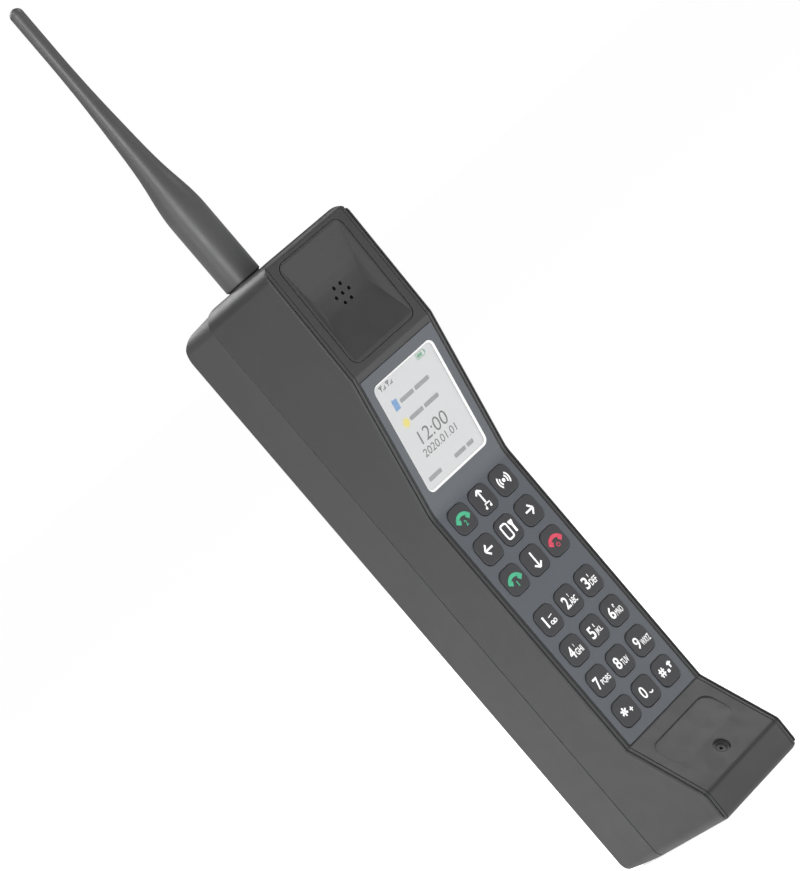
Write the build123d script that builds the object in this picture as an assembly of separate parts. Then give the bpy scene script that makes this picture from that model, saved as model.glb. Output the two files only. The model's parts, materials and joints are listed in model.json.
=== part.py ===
from build123d import *

import math
import os

# Brick-style mobile phone with a screw-in antenna, a sloped colour display and 21 keys.
# Millimetres. The phone stands upright on its foot: +Z runs up along the antenna, the front
# faces -Y, and +X is to the right seen from the front. The origin is the middle of the foot.

os.makedirs("parts", exist_ok=True)

# ---- driving dimensions: outline -----------------------------------------------------------
body_width = 38.8
body_depth = 51.5
body_height = 200.0
front_shell_depth = 34.75   # earpiece face back to the parting line
ear_lean = 1.45             # the earpiece face leans back towards its lower edge
waist_step = 15.15          # keypad face, set back from the earpiece face
lip_set_back = 1.25         # lip of the chin, set back from the earpiece face
foot_set_back = 1.65
slope_top_z = 160.0         # display slope
slope_foot_z = 116.5
chin_top_z = 31.6
lip_z = 9.3
slope_bend_radius = 10.0
chin_bend_radius = 1.2
lip_radius = 3.0
foot_radius = 1.6
ear_edge_radius = 1.6
brow_radius = 1.6
crown_corner_radius = 5.0   # top corners, seen from the front
foot_corner_radius = 3.0    # bottom corners, seen from the front
front_crown_radius = 2.0    # where the front shell turns down into the parting line
rear_top_drop = 0.7
rear_top_slope = 1.3
rear_foot_rise = 2.0
rear_top_radius = 7.0
rear_foot_radius = 3.0

# ---- driving dimensions: walls and seams ----------------------------------------------------
front_wall = 2.4            # face, crown and foot
side_wall = 1.8
back_wall = 2.0
cavity_corner_radius = 3.0
ear_wall = 4.4
seam_width = 0.2            # step in each shell that makes the parting line
seam_depth = 0.25
lip_length = 1.4            # tongue of the rear shell inside the front shell
lip_thickness = 1.0
fit_gap = 0.1
edge_round = 0.4
rim_edge = 0.6              # plain edge outside the outer groove
rim_groove = 0.4
rim_groove_depth = 0.5
rim_ridge = 0.95
rim_inner_groove = 0.25
rim_inner_groove_depth = 0.3
ridge_round = 0.25

# ---- driving dimensions: earpiece and chin --------------------------------------------------
pad_half_width = 14.6
pad_low_z = 162.0
pad_high_z = 197.6
pad_corner_radius = 3.2
pad_groove = 0.4
pad_groove_depth = 0.35
scoop_half_width = 13.6
scoop_depth = 1.9
scoop_wall_run = 2.8
scoop_wall_radius = 4.0
scoop_low_z = 163.5
scoop_high_z = 196.5
scoop_end_run = 13.0
scoop_end_radius = 30.0
ear_hole_z = 180.0
ear_hole_diameter = 1.2
ear_hole_circle = 2.9
ear_hole_count = 6
pocket_half_width = 13.8
pocket_height = 11.0
pocket_drop = 4.6           # from the chin's top edge down its face
pocket_depth = 0.45
pocket_corner_radius = 3.4
mic_z = 15.0
mic_dimple_diameter = 5.0
mic_dimple_depth = 0.8
mic_step_diameter = 3.4
mic_step_depth = 0.5
mic_hole_diameter = 1.0

# ---- driving dimensions: fascia, display and keys -------------------------------------------
fascia_half_width = 16.75
fascia_thickness = 1.2
fascia_proud = 0.15
fascia_foot_gap = 0.35
fascia_rise = 43.4          # how far the fascia runs up the slope
window_width = 28.0
window_height = 35.0
window_rise = 4.9           # lower edge of the window, up the slope from the bend
window_corner_radius = 2.2
window_ledge = 0.5
lens_thickness = 1.0
gasket_thickness = 0.3
lcd_width = 31.4
lcd_height = 38.6
lcd_thickness = 1.5
lcd_rise = 2.4
lcd_corner_radius = 0.5
lcd_gap = 0.3               # round the module, in the shell
tray_corner_radius = 1.0
frame_floor = 0.4
frame_margin = 1.2
key_column_pitch = 10.06
key_row_pitch = 11.2
key_block_gap = 14.8
key_first_row_z = 39.5
key_width = 8.2
key_height = 8.4
key_corner_radius = 2.4
key_hole_gap = 0.15
key_proud = 0.35
key_round = 0.3
key_flange = 0.6
key_flange_thickness = 0.5
key_flange_gap = 0.05
key_travel = 0.45
plunger_diameter = 2.4
key_window_margin = 0.9
mat_skirt = 1.2
mat_hole_diameter = 3.8
dome_diameter = 3.0
dome_height = 0.2
travel_spare = 0.05

# ---- driving dimensions: boards and what they carry -----------------------------------------
board_thickness = 1.0
board_half_width = 16.6
board_low_z = 20.5
board_high_z = 181.0
mat_skirt_thickness = 0.5
board_screw_x = 13.5
board_screw_low_z = 24.0
board_screw_high_z = 165.0
board_boss_diameter = 4.4
screw_diameter = 2.0
screw_head_diameter = 3.8
screw_head_height = 1.6
shell_screw_x = 13.4
shell_screw_low_z = 14.0
shell_screw_high_z = 186.0
shell_boss_diameter = 5.2
shell_screw_depth = 4.0     # head seat, behind the parting line
shell_screw_grip = 8.0
board_screw_grip = 3.2
screw_well_diameter = 4.4
rear_boss_diameter = 8.6
speaker_diameter = 15.0
speaker_thickness = 3.4
speaker_gasket_thickness = 0.6
speaker_ring_wall = 1.0
speaker_rim = 1.5
speaker_cone_depth = 0.5
lead_diameter = 0.7
mic_diameter = 4.0
mic_thickness = 1.6
mic_boot_wall = 0.8
horn_diameter = 24.0        # rear loudspeaker
horn_thickness = 4.5
horn_z = 150.0
horn_rim = 2.0
horn_cone_depth = 0.6
grille_slots = 5
grille_pitch = 2.6
grille_slot_width = 1.2
grille_slot_length = 14.0
motor_diameter = 4.0
motor_length = 9.0
motor_shaft_diameter = 0.8
weight_radius = 2.6
weight_length = 3.2
motor_end_x = 13.2
motor_z = 136.0
usb_width = 7.6
usb_height = 2.8
usb_depth = 5.4
usb_shell = 0.4
usb_back = 1.0
flex_width = 9.0
flex_thickness = 0.15
flex_reach = 2.2            # how far it runs on before it turns back
flex_bend = 0.6
flex_landing = 4.0          # length soldered to the board
flex_landing_z = 145.0
lead_spacing = 2.6
lead_reach = 3.0            # straight length at each end
lead_drop = 6.0
lead_bend = 1.2
lead_offset = 2.0           # from the middle of the speaker
shaft_fit = 0.05            # running fit of the motor shaft, radial
shaft_depth = 4.0
weight_gap = 0.4
weight_bay_gap = 1.0        # round the weight, in the board's edge
usb_z = 60.0
can_height = 2.0
can_places = [              # x from, x to, z from, z to
    (-13.0, 4.0, 40.0, 66.0),
    (-13.0, 2.0, 74.0, 98.0),
]
chip_height = 1.0
chip_places = [
    (5.0, 12.0, 76.0, 83.0),
    (5.0, 13.0, 90.0, 97.0),
    (-11.0, -3.0, 108.0, 116.0),
]

# ---- driving dimensions: battery bay --------------------------------------------------------
bay_centre_z = 70.0
bay_height = 73.6
bay_floor_depth = 2.0       # behind the parting line
bay_floor = 1.2
bay_end_wall = 1.2
battery_width = 28.0
battery_height = 64.0
battery_thickness = 9.6
battery_foot_gap = 1.8
battery_round = 1.5
cover_width = 32.0
cover_height = 76.0
cover_thickness = 1.2
cover_ledge = 1.6
cover_gap = 0.15
cover_corner_radius = 3.0
cover_inner_radius = 2.0
cover_rib = 1.0
cover_rib_depth = 1.5
grip_ribs = 6
grip_low = 9.0
grip_length = 18.0
grip_width = 1.0
grip_depth = 0.35
grip_pitch = 2.2
notch_radius = 5.0
notch_depth = 1.0
sim_width = 12.0
sim_height = 15.0
sim_thickness = 1.1
sim_wall = 0.8
sim_floor = 0.4
sim_hole_radius = 0.3
contact_block_width = 12.0
contact_block_depth = 6.0
contact_block_height = 3.4
finger_pitch = 4.0
finger_width = 1.2
finger_depth = 2.0
sim_spacing = 14.6
battery_board_thickness = 1.0
battery_board_gap = 1.0     # short of the bay's top end

# ---- driving dimensions: antenna and torch --------------------------------------------------
antenna_x = -8.55
antenna_y = -3.5
antenna_length = 99.75      # above the top of the body, washer included
antenna_base_diameter = 12.0
antenna_tip_diameter = 4.3
antenna_straight = 23.5
antenna_taper = 59.0
washer_thickness = 0.35
washer_diameter = 11.0
core_diameter = 2.2
core_length = 80.0
stud_diameter = 4.0
stud_depth = 11.0           # below the top of the body
stud_rise = 8.0
stud_fit = 0.08             # running fit in its threaded insert, radial
insert_diameter = 7.0
insert_depth = 12.0
insert_sink = 0.6
insert_floor = 1.2
contact_bore = 4.4
antenna_boss_diameter = 10.6
torch_x = 8.5
torch_y = -5.0
torch_diameter = 5.0
torch_flange = 0.7
led_diameter = 3.0
led_height = 4.5
led_gap = 0.8
led_leg = 0.5
led_leg_spacing = 1.27
led_leg_foot = 3.0          # length of each leg that lies on the board
base_round = 0.3
taper_power = 2.0           # how early the taper loses its width
contact_thickness = 0.3
contact_width = 2.0
contact_foot = 4.0          # length of the strip that lies on the board

# ---- places worked out from them ------------------------------------------------------------
half_width = body_width / 2
front_y = -body_depth / 2
back_y = body_depth / 2
ear_low_y = front_y + ear_lean
key_y = front_y + waist_step
lip_y = front_y + lip_set_back
foot_y = front_y + foot_set_back
parting_y = front_y + front_shell_depth
slope_angle = math.atan2(key_y - ear_low_y, slope_top_z - slope_foot_z)
chin_angle = math.atan2(key_y - lip_y, chin_top_z - lip_z)
cavity_half_width = half_width - side_wall
fascia_y = key_y - fascia_proud
fascia_back_y = fascia_y + fascia_thickness
shell_inner_y = key_y + front_wall
board_y = shell_inner_y + mat_skirt_thickness
board_back_y = board_y + board_thickness
flange_y = fascia_back_y + key_flange_gap
flange_back_y = flange_y + key_flange_thickness
mat_y = flange_back_y + key_travel + travel_spare
plunger_y = board_y - dome_height - key_travel - travel_spare
ear_inner_y = front_y + ear_wall
motor_y = board_back_y + motor_diameter / 2
bay_floor_y = parting_y + bay_floor_depth
bay_seat_y = bay_floor_y + bay_floor
back_inner_y = back_y - back_wall
bay_low_z = bay_centre_z - bay_height / 2
bay_high_z = bay_centre_z + bay_height / 2
sim_columns = [-sim_spacing / 2, sim_spacing / 2]
key_columns = [-key_column_pitch, 0.0, key_column_pitch]
number_rows = [key_first_row_z + key_row_pitch * n for n in range(4)]
menu_rows = [number_rows[-1] + key_block_gap + key_row_pitch * n for n in range(3)]
key_window_low = number_rows[0] - key_height / 2 - key_window_margin
key_window_high = menu_rows[-1] + key_height / 2 + key_window_margin
key_window_half = key_columns[-1] + key_width / 2 + key_window_margin
key_names = {
    (0, 6): "key_call_one", (1, 6): "key_up", (2, 6): "key_radio",
    (0, 5): "key_left", (1, 5): "key_ok", (2, 5): "key_right",
    (0, 4): "key_call_two", (1, 4): "key_down", (2, 4): "key_end",
    (0, 3): "key_1", (1, 3): "key_2", (2, 3): "key_3",
    (0, 2): "key_4", (1, 2): "key_5", (2, 2): "key_6",
    (0, 1): "key_7", (1, 1): "key_8", (2, 1): "key_9",
    (0, 0): "key_star", (1, 0): "key_0", (2, 0): "key_hash",
}
BEYOND = 200.0              # reach of a cutter that passes right through
OVER = 1.0                  # how far a cutter runs past the face it starts from
NEAR = 0.01                 # tolerance when picking edges by place


# ---- shape helpers --------------------------------------------------------------------------
def block(x_range, y_range, z_range):
    """Box between two corners."""
    size = [high - low for low, high in (x_range, y_range, z_range)]
    centre = [(low + high) / 2 for low, high in (x_range, y_range, z_range)]
    return Pos(*centre) * Box(*size)


def side_prism(corners, x_low, x_high):
    """Solid with the outline (y, z, corner radius) seen from the side, between two x."""
    outline = FilletPolyline(
        *[(y, z) for y, z, _ in corners], radius=[r for _, _, r in corners], close=True
    )
    face = Plane.YZ.offset(x_low) * make_face(outline)
    return extrude(face, x_high - x_low)


def front_prism(corners, y_low, y_high):
    """Solid with the outline (x, z, corner radius) seen from the front, between two y."""
    outline = FilletPolyline(
        *[(x, z) for x, z, _ in corners], radius=[r for _, _, r in corners], close=True
    )
    plane = Plane(origin=(0, y_high, 0), x_dir=(1, 0, 0), z_dir=(0, -1, 0))
    return extrude(plane * make_face(outline), y_high - y_low)


def slab(plane, width, height, radius, thickness):
    """Rounded plate whose front face is on the plane, running back along its normal's reverse."""
    return extrude(plane * RectangleRounded(width, height, radius), -thickness)


def rod_y(x, z, diameter, y_low, y_high):
    """Cylinder along Y."""
    turned = Rot(90, 0, 0) * Cylinder(diameter / 2, y_high - y_low)
    return Pos(x, (y_low + y_high) / 2, z) * turned


def rod_x(y, z, diameter, x_low, x_high):
    """Cylinder along X."""
    turned = Rot(0, 90, 0) * Cylinder(diameter / 2, x_high - x_low)
    return Pos((x_low + x_high) / 2, y, z) * turned


def rod_z(x, y, diameter, z_low, z_high):
    """Cylinder along Z."""
    return Pos(x, y, (z_low + z_high) / 2) * Cylinder(diameter / 2, z_high - z_low)


def facing(x, y, z):
    """Plane at a point, facing the front."""
    return Plane(origin=(x, y, z), x_dir=(1, 0, 0), z_dir=(0, -1, 0))


def slope_plane(rise, depth):
    """Plane on the display slope: a distance up from the bend, and below the fascia's face."""
    bend_z = slope_foot_z - fascia_proud * math.tan(slope_angle / 2)
    out_y, out_z = -math.cos(slope_angle), -math.sin(slope_angle)
    y = fascia_y - rise * math.sin(slope_angle) - depth * out_y
    z = bend_z + rise * math.cos(slope_angle) - depth * out_z
    return Plane(origin=(0, y, z), x_dir=(1, 0, 0), z_dir=(0, out_y, out_z))


def chin_plane(drop, depth):
    """Plane on the chin: a distance down from its top edge, and below its face."""
    out_y, out_z = -math.cos(chin_angle), math.sin(chin_angle)
    y = key_y - drop * math.sin(chin_angle) - depth * out_y
    z = chin_top_z - drop * math.cos(chin_angle) - depth * out_z
    return Plane(origin=(0, y, z), x_dir=(1, 0, 0), z_dir=(0, out_y, out_z))


def body_profile(rear_y, crown_radius):
    """Side outline of the phone from its face back to a given y."""
    return [
        (foot_y, 0, foot_radius),
        (lip_y, lip_z, lip_radius),
        (key_y, chin_top_z, chin_bend_radius),
        (key_y, slope_foot_z, slope_bend_radius),
        (ear_low_y, slope_top_z, ear_edge_radius),
        (front_y, body_height, brow_radius),
        (rear_y, body_height, crown_radius),
        (rear_y, 0, 0),
    ]


def body_slice(depth, x_low, x_high):
    """The phone's side outline, taken in by a depth all round, between two x."""
    outline = FilletPolyline(
        *[(y, z) for y, z, _ in body_profile(back_y + front_wall, 0)],
        radius=[r for _, _, r in body_profile(back_y + front_wall, 0)],
        close=True,
    )
    face = make_face(outline)
    if depth > 0:
        face = offset(face, amount=-depth)
    return extrude(Plane.YZ.offset(x_low) * face, x_high - x_low)


def front_view(half, low_z, high_z, top_radius, foot_radius_seen):
    """Outline seen from the front, with rounded corners, through the whole depth."""
    corners = [
        (-half, low_z, foot_radius_seen),
        (half, low_z, foot_radius_seen),
        (half, high_z, top_radius),
        (-half, high_z, top_radius),
    ]
    return front_prism(corners, -BEYOND, BEYOND)


def cavity(gap):
    """The hollow inside both shells, smaller by a gap."""
    hollow = body_slice(front_wall + gap, -cavity_half_width + gap, cavity_half_width - gap)
    return hollow & front_view(
        cavity_half_width - gap, 0, body_height - front_wall - gap, cavity_corner_radius, 0
    )


def seam_step(y_range, high):
    """What is taken off the edge of a shell where the two meet."""
    strip = block((-BEYOND, BEYOND), y_range, (-BEYOND, BEYOND * 2))
    return strip - front_view(
        half_width - seam_depth, seam_depth, high - seam_depth, crown_corner_radius, foot_corner_radius
    )


def screw_posts():
    """Places (x, z) of the four screws that close the shells."""
    heights = (shell_screw_low_z, shell_screw_high_z)
    return [(x, z) for x in (-shell_screw_x, shell_screw_x) for z in heights]


def board_posts():
    """Places (x, z) of the four screws that hold the main board."""
    heights = (board_screw_low_z, board_screw_high_z)
    return [(x, z) for x in (-board_screw_x, board_screw_x) for z in heights]


def key_places():
    """Name and place (x, z) of every key."""
    rows = number_rows + menu_rows
    return [(name, key_columns[col], rows[row]) for (col, row), name in key_names.items()]


# ---- front shell ----------------------------------------------------------------------------
def face_grooves():
    """The outer and inner grooves of the rim, along both edges of the face."""
    whole = body_slice(0, -half_width, half_width)
    reach = (-BEYOND, key_y + front_wall)
    grooves = []
    outer_edge = half_width - rim_edge
    inner_edge = outer_edge - rim_groove - rim_ridge
    for start, width, depth in (
        (outer_edge, rim_groove, rim_groove_depth),
        (inner_edge, rim_inner_groove, rim_inner_groove_depth),
    ):
        kept = body_slice(depth, -half_width, half_width)
        for x_range in ((start - width, start), (-start, width - start)):
            strip = block(x_range, reach, (depth, body_height - depth))
            grooves.append((whole & strip) - kept)
    return grooves


def ear_frame(z):
    """Location on the earpiece face: local Z runs up the face, local -Y points out of it."""
    lean = math.atan2(ear_lean, body_height - slope_top_z)
    y = front_y + (body_height - z) * math.tan(lean)
    return Pos(0, y, z) * Rot(math.degrees(lean), 0, 0)


def ear_scoop():
    """Hollow that the ear rests in: a trough whose ends run out gently to the face."""
    rise = scoop_depth / scoop_wall_run
    length = scoop_high_z - scoop_low_z
    over = 2.0
    section = FilletPolyline(
        (-scoop_half_width - over, -over * rise),
        (-scoop_half_width + scoop_wall_run, scoop_depth),
        (scoop_half_width - scoop_wall_run, scoop_depth),
        (scoop_half_width + over, -over * rise),
        radius=[0, scoop_wall_radius, scoop_wall_radius, 0],
        close=True,
    )
    trough = extrude(Plane.XY.offset(-length / 2) * make_face(section), length)
    end_rise = scoop_depth / scoop_end_run
    side = side_prism(
        [
            (-over * end_rise, -length / 2 - over, 0),
            (scoop_depth, -length / 2 + scoop_end_run, scoop_end_radius),
            (scoop_depth, length / 2 - scoop_end_run, scoop_end_radius),
            (-over * end_rise, length / 2 + over, 0),
        ],
        -scoop_half_width,
        scoop_half_width,
    )
    return ear_frame((scoop_low_z + scoop_high_z) / 2) * (trough & side)


def ear_pad_groove():
    """Fine groove round the earpiece pad."""
    height = pad_high_z - pad_low_z
    plane = Plane(origin=(0, 0, 0), x_dir=(1, 0, 0), z_dir=(0, -1, 0))
    outside = slab(plane, 2 * pad_half_width, height, pad_corner_radius, pad_groove_depth)
    inside = slab(
        plane,
        2 * (pad_half_width - pad_groove),
        height - 2 * pad_groove,
        pad_corner_radius - pad_groove,
        pad_groove_depth,
    )
    return ear_frame((pad_low_z + pad_high_z) / 2) * (outside - inside)


def ear_holes():
    """One hole in the middle and a ring of holes round it, through to the speaker."""
    places = [(0.0, ear_hole_z)]
    for n in range(ear_hole_count):
        turn = 2 * math.pi * n / ear_hole_count
        places.append(
            (ear_hole_circle * math.cos(turn), ear_hole_z + ear_hole_circle * math.sin(turn))
        )
    return [rod_y(x, z, ear_hole_diameter, front_y - OVER, ear_inner_y + OVER) for x, z in places]


def chin_pocket():
    """Shallow pocket in the chin, deepest at its top and running out below."""
    lower = chin_plane(pocket_drop + pocket_height, 0)
    tilt = math.degrees(math.atan2(pocket_depth, pocket_height))
    outline = RectangleRounded(2 * pocket_half_width, pocket_height, pocket_corner_radius)
    pocket = Pos(0, pocket_height / 2, 0) * extrude(outline, 3 * pocket_depth)
    return lower.location * (Rot(-tilt, 0, 0) * pocket)


def mic_drop():
    """How far down the chin's face the microphone sits."""
    return (chin_top_z - mic_z) / math.cos(chin_angle)


def mic_dimple():
    """Stepped round recess of the microphone, with its hole through the wall."""
    steps = (
        (mic_dimple_diameter, mic_dimple_depth),
        (mic_step_diameter, mic_dimple_depth + mic_step_depth),
        (mic_hole_diameter, front_wall + fit_gap),
    )
    place = chin_plane(mic_drop(), 0).location
    return [place * (Pos(0, 0, -deep / 2) * Cylinder(wide / 2, deep)) for wide, deep in steps]


def bent_plate(depth_low, depth_high, foot_z, rise, half):
    """Plate that follows the keypad face and the slope, between two depths below the fascia."""
    half_slope = math.tan(slope_angle / 2)
    ends = []
    for depth in (depth_low, depth_high):
        bend_z = slope_foot_z + (depth - fascia_proud) * half_slope
        bend_radius = slope_bend_radius - fascia_proud + depth
        top = slope_plane(rise, depth).origin
        ends.append(
            [
                (fascia_y + depth, foot_z, 0),
                (fascia_y + depth, bend_z, bend_radius),
                (top.Y, top.Z, 0),
            ]
        )
    return side_prism(ends[0] + ends[1][::-1], -half, half)


def key_window(gap):
    """Opening behind the fascia that the keys work in, smaller by a gap."""
    return (
        (-key_window_half + gap, key_window_half - gap),
        (key_window_low + gap, key_window_high - gap),
    )


def lcd_middle():
    """How far up the slope the middle of the display module is."""
    return lcd_rise + lcd_height / 2


def make_front_shell():
    """Face, sides, crown and foot in one moulding, open at the back."""
    outer = side_prism(body_profile(parting_y, front_crown_radius), -half_width, half_width)
    rims = [
        edge for edge in outer.edges()
        if abs((edge @ 0.5).X) > half_width - NEAR and (edge @ 0.5).Y < parting_y - NEAR
    ]
    outer = fillet(rims, edge_round)
    for groove in face_grooves():
        outer = outer - groove
    ridge_x = half_width - rim_edge - rim_groove
    inside = body_slice(rim_groove_depth / 2, -half_width, half_width)
    ridges = [
        edge for edge in outer.edges()
        if abs(abs((edge @ 0.5).X) - ridge_x) < NEAR
        and abs(abs((edge @ 0).X) - ridge_x) < NEAR
        and not inside.is_inside(edge @ 0.5)
        and (edge @ 0.5).Z > rim_groove_depth
        and (edge @ 0.5).Z < body_height - rim_groove_depth
    ]
    outer = fillet(ridges, ridge_round)
    outer = outer & front_view(half_width, 0, body_height, crown_corner_radius, foot_corner_radius)
    outer = outer - seam_step((parting_y - seam_width, parting_y + OVER), body_height)
    backing = block(
        (-pad_half_width, pad_half_width), (-BEYOND, ear_inner_y), (pad_low_z, pad_high_z)
    )
    solid = outer - (cavity(0) - backing)
    posts = [rod_y(x, z, shell_boss_diameter, front_y, parting_y) for x, z in screw_posts()]
    posts += [rod_y(x, z, board_boss_diameter, front_y, board_y) for x, z in board_posts()]
    ring_diameter = speaker_diameter + 2 * fit_gap + 2 * speaker_ring_wall
    ring = rod_y(0, ear_hole_z, ring_diameter, front_y, ear_inner_y + speaker_thickness)
    posts.append(ring)
    boss_low = body_height - insert_depth - insert_floor
    posts.append(rod_z(antenna_x, antenna_y, antenna_boss_diameter, boss_low, body_height))
    for post in posts:
        solid = solid + (post & outer)
    for x, z in screw_posts():
        solid -= rod_y(x, z, screw_diameter, parting_y - shell_screw_grip, parting_y + OVER)
    for x, z in board_posts():
        solid -= rod_y(x, z, screw_diameter, board_y - board_screw_grip, board_y + OVER)
    solid -= rod_y(0, ear_hole_z, speaker_diameter + 2 * fit_gap, ear_inner_y, BEYOND)
    solid -= rod_z(
        antenna_x, antenna_y, insert_diameter, body_height - insert_depth, body_height + OVER
    )
    solid -= rod_z(antenna_x, antenna_y, contact_bore, boss_low - OVER, body_height)
    solid -= rod_z(torch_x, torch_y, torch_diameter, body_height - 2 * front_wall, BEYOND * 2)
    solid -= bent_plate(
        -OVER, fascia_thickness, chin_top_z + fascia_foot_gap - fit_gap,
        fascia_rise + fit_gap, fascia_half_width + fit_gap,
    )
    window_x, window_z = key_window(0)
    solid -= block(window_x, (fascia_y, shell_inner_y + fit_gap), window_z)
    lcd_face = slope_plane(lcd_middle(), 0)
    solid -= slab(
        lcd_face, lcd_width + 2 * lcd_gap, lcd_height + 2 * lcd_gap, lcd_gap, 2 * front_wall
    )
    solid -= ear_pad_groove()
    solid -= ear_scoop()
    for hole in ear_holes() + mic_dimple():
        solid -= hole
    solid -= chin_pocket()
    usb_y = (board_back_y - fit_gap, board_back_y + usb_height + fit_gap)
    usb_z_range = (usb_z - usb_width / 2 - fit_gap, usb_z + usb_width / 2 + fit_gap)
    solid -= block((cavity_half_width - fit_gap, half_width + OVER), usb_y, usb_z_range)
    return solid


# ---- rear shell -----------------------------------------------------------------------------
def rear_outline(inset, y_from, top_radius, low_radius):
    """Side outline of the rear shell, taken in by a wall."""
    top_front = body_height - rear_top_drop - (front_wall if inset else 0)
    top_back = top_front - rear_top_slope
    low = front_wall if inset else 0
    back = back_y - inset
    return [
        (y_from, low, 0),
        (back, low + rear_foot_rise, low_radius),
        (back, top_back, top_radius),
        (y_from, top_front, 0),
    ]


def make_rear_shell():
    """Back half of the casing, with the battery bay, screw wells and loudspeaker grille."""
    outer = side_prism(
        rear_outline(0, parting_y, rear_top_radius, rear_foot_radius), -half_width, half_width
    )
    rims = [
        edge for edge in outer.edges()
        if abs((edge @ 0.5).X) > half_width - NEAR and (edge @ 0.5).Y > parting_y + NEAR
    ]
    outer = fillet(rims, edge_round)
    high = body_height - rear_top_drop
    outer = outer & front_view(half_width, 0, high, crown_corner_radius, foot_corner_radius)
    outer = outer - seam_step((parting_y - OVER, parting_y + seam_width), high)
    neck_y = parting_y + lip_thickness
    hollow = side_prism(
        rear_outline(back_wall, neck_y, rear_top_radius - back_wall, rear_foot_radius - back_wall),
        -cavity_half_width,
        cavity_half_width,
    )
    hollow = hollow & front_view(
        cavity_half_width, 0, high - front_wall, cavity_corner_radius, 0
    )
    full = block((-BEYOND, BEYOND), (parting_y - lip_length, parting_y), (0, BEYOND * 2))
    tongue = cavity(fit_gap) & full
    throat = cavity(fit_gap + lip_thickness) & block(
        (-BEYOND, BEYOND), (parting_y - lip_length - OVER, neck_y), (0, BEYOND * 2)
    )
    solid = outer + tongue - throat - hollow
    inner_x = (-cavity_half_width, cavity_half_width)
    walls = [block(inner_x, (bay_floor_y, bay_seat_y), (bay_low_z, bay_high_z))]
    for z_range in (
        (bay_low_z - bay_end_wall, bay_low_z),
        (bay_high_z, bay_high_z + bay_end_wall),
    ):
        walls.append(block(inner_x, (bay_floor_y, back_inner_y), z_range))
    for x, z in screw_posts():
        walls.append(rod_y(x, z, rear_boss_diameter, parting_y, back_inner_y))
    horn_ring = horn_diameter + 2 * fit_gap + 2 * speaker_ring_wall
    walls.append(rod_y(0, horn_z, horn_ring, back_inner_y - horn_thickness / 2, back_inner_y))
    for wall in walls:
        solid = solid + (wall & outer)
    head_y = parting_y + shell_screw_depth
    for x, z in screw_posts():
        solid -= rod_y(x, z, screw_diameter + 2 * fit_gap, parting_y - OVER, head_y + OVER)
        solid -= rod_y(x, z, screw_well_diameter, head_y, back_y + OVER)
    horn_bore = horn_diameter + 2 * fit_gap
    solid -= rod_y(0, horn_z, horn_bore, back_inner_y - horn_thickness, back_inner_y)
    for n in range(grille_slots):
        z = horn_z + (n - (grille_slots - 1) / 2) * grille_pitch
        slot = SlotOverall(grille_slot_length, grille_slot_width)
        solid -= extrude(facing(0, back_inner_y - OVER, z) * slot, -BEYOND)
    cover = (cover_width + 2 * cover_gap, cover_height + 2 * cover_gap)
    cover_face = facing(0, back_y - cover_thickness, bay_centre_z)
    solid -= slab(cover_face, *cover, cover_corner_radius, BEYOND)
    opening = (cover_width - 2 * cover_ledge, cover_height - 2 * cover_ledge)
    solid -= slab(facing(0, bay_seat_y, bay_centre_z), *opening, cover_inner_radius, BEYOND)
    notch = rod_y(0, bay_centre_z - cover_height / 2, 2 * notch_radius, back_y - notch_depth, BEYOND)
    solid -= notch
    for x in sim_columns:
        sim_hole = (sim_width + 2 * fit_gap, sim_height + 2 * fit_gap)
        face = facing(x, bay_floor_y - OVER, bay_centre_z)
        solid -= slab(face, *sim_hole, sim_hole_radius, bay_floor + 2 * OVER)
    return solid


# ---- fascia, display and keys ---------------------------------------------------------------
def window_middle():
    """How far up the slope the middle of the display window is."""
    return window_rise + window_height / 2


def make_fascia():
    """Bent front panel with the display window and a hole for each key."""
    plate = bent_plate(
        0, fascia_thickness, chin_top_z + fascia_foot_gap, fascia_rise, fascia_half_width
    )
    for _, x, z in key_places():
        hole = slab(
            facing(x, fascia_y - OVER, z),
            key_width + 2 * key_hole_gap,
            key_height + 2 * key_hole_gap,
            key_corner_radius + key_hole_gap,
            fascia_thickness + 2 * OVER,
        )
        plate -= hole
    middle = window_middle()
    plate -= slab(
        slope_plane(middle, -OVER),
        window_width + fit_gap,
        window_height + fit_gap,
        window_corner_radius + fit_gap / 2,
        lens_thickness + OVER,
    )
    plate -= slab(
        slope_plane(middle, 0),
        window_width - 2 * window_ledge,
        window_height - 2 * window_ledge,
        window_corner_radius - window_ledge,
        2 * fascia_thickness,
    )
    return plate


def make_display_lens():
    """Clear window, flush with the fascia and seated on its ledge."""
    face = slope_plane(window_middle(), 0)
    return slab(face, window_width, window_height, window_corner_radius, lens_thickness)


def make_display_gasket():
    """Foam frame between the fascia and the display module."""
    face = slope_plane(lcd_middle(), fascia_thickness)
    ring = slab(face, lcd_width, lcd_height, tray_corner_radius, gasket_thickness)
    view_width = window_width + 2 * window_ledge
    view_height = window_height + 2 * window_ledge
    view = slope_plane(window_middle(), 0)
    return ring - slab(view, view_width, view_height, window_corner_radius, 2 * fascia_thickness)


def make_lcd_module():
    """Colour display module behind the window."""
    face = slope_plane(lcd_middle(), fascia_thickness + gasket_thickness)
    return slab(face, lcd_width, lcd_height, lcd_corner_radius, lcd_thickness)


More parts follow.
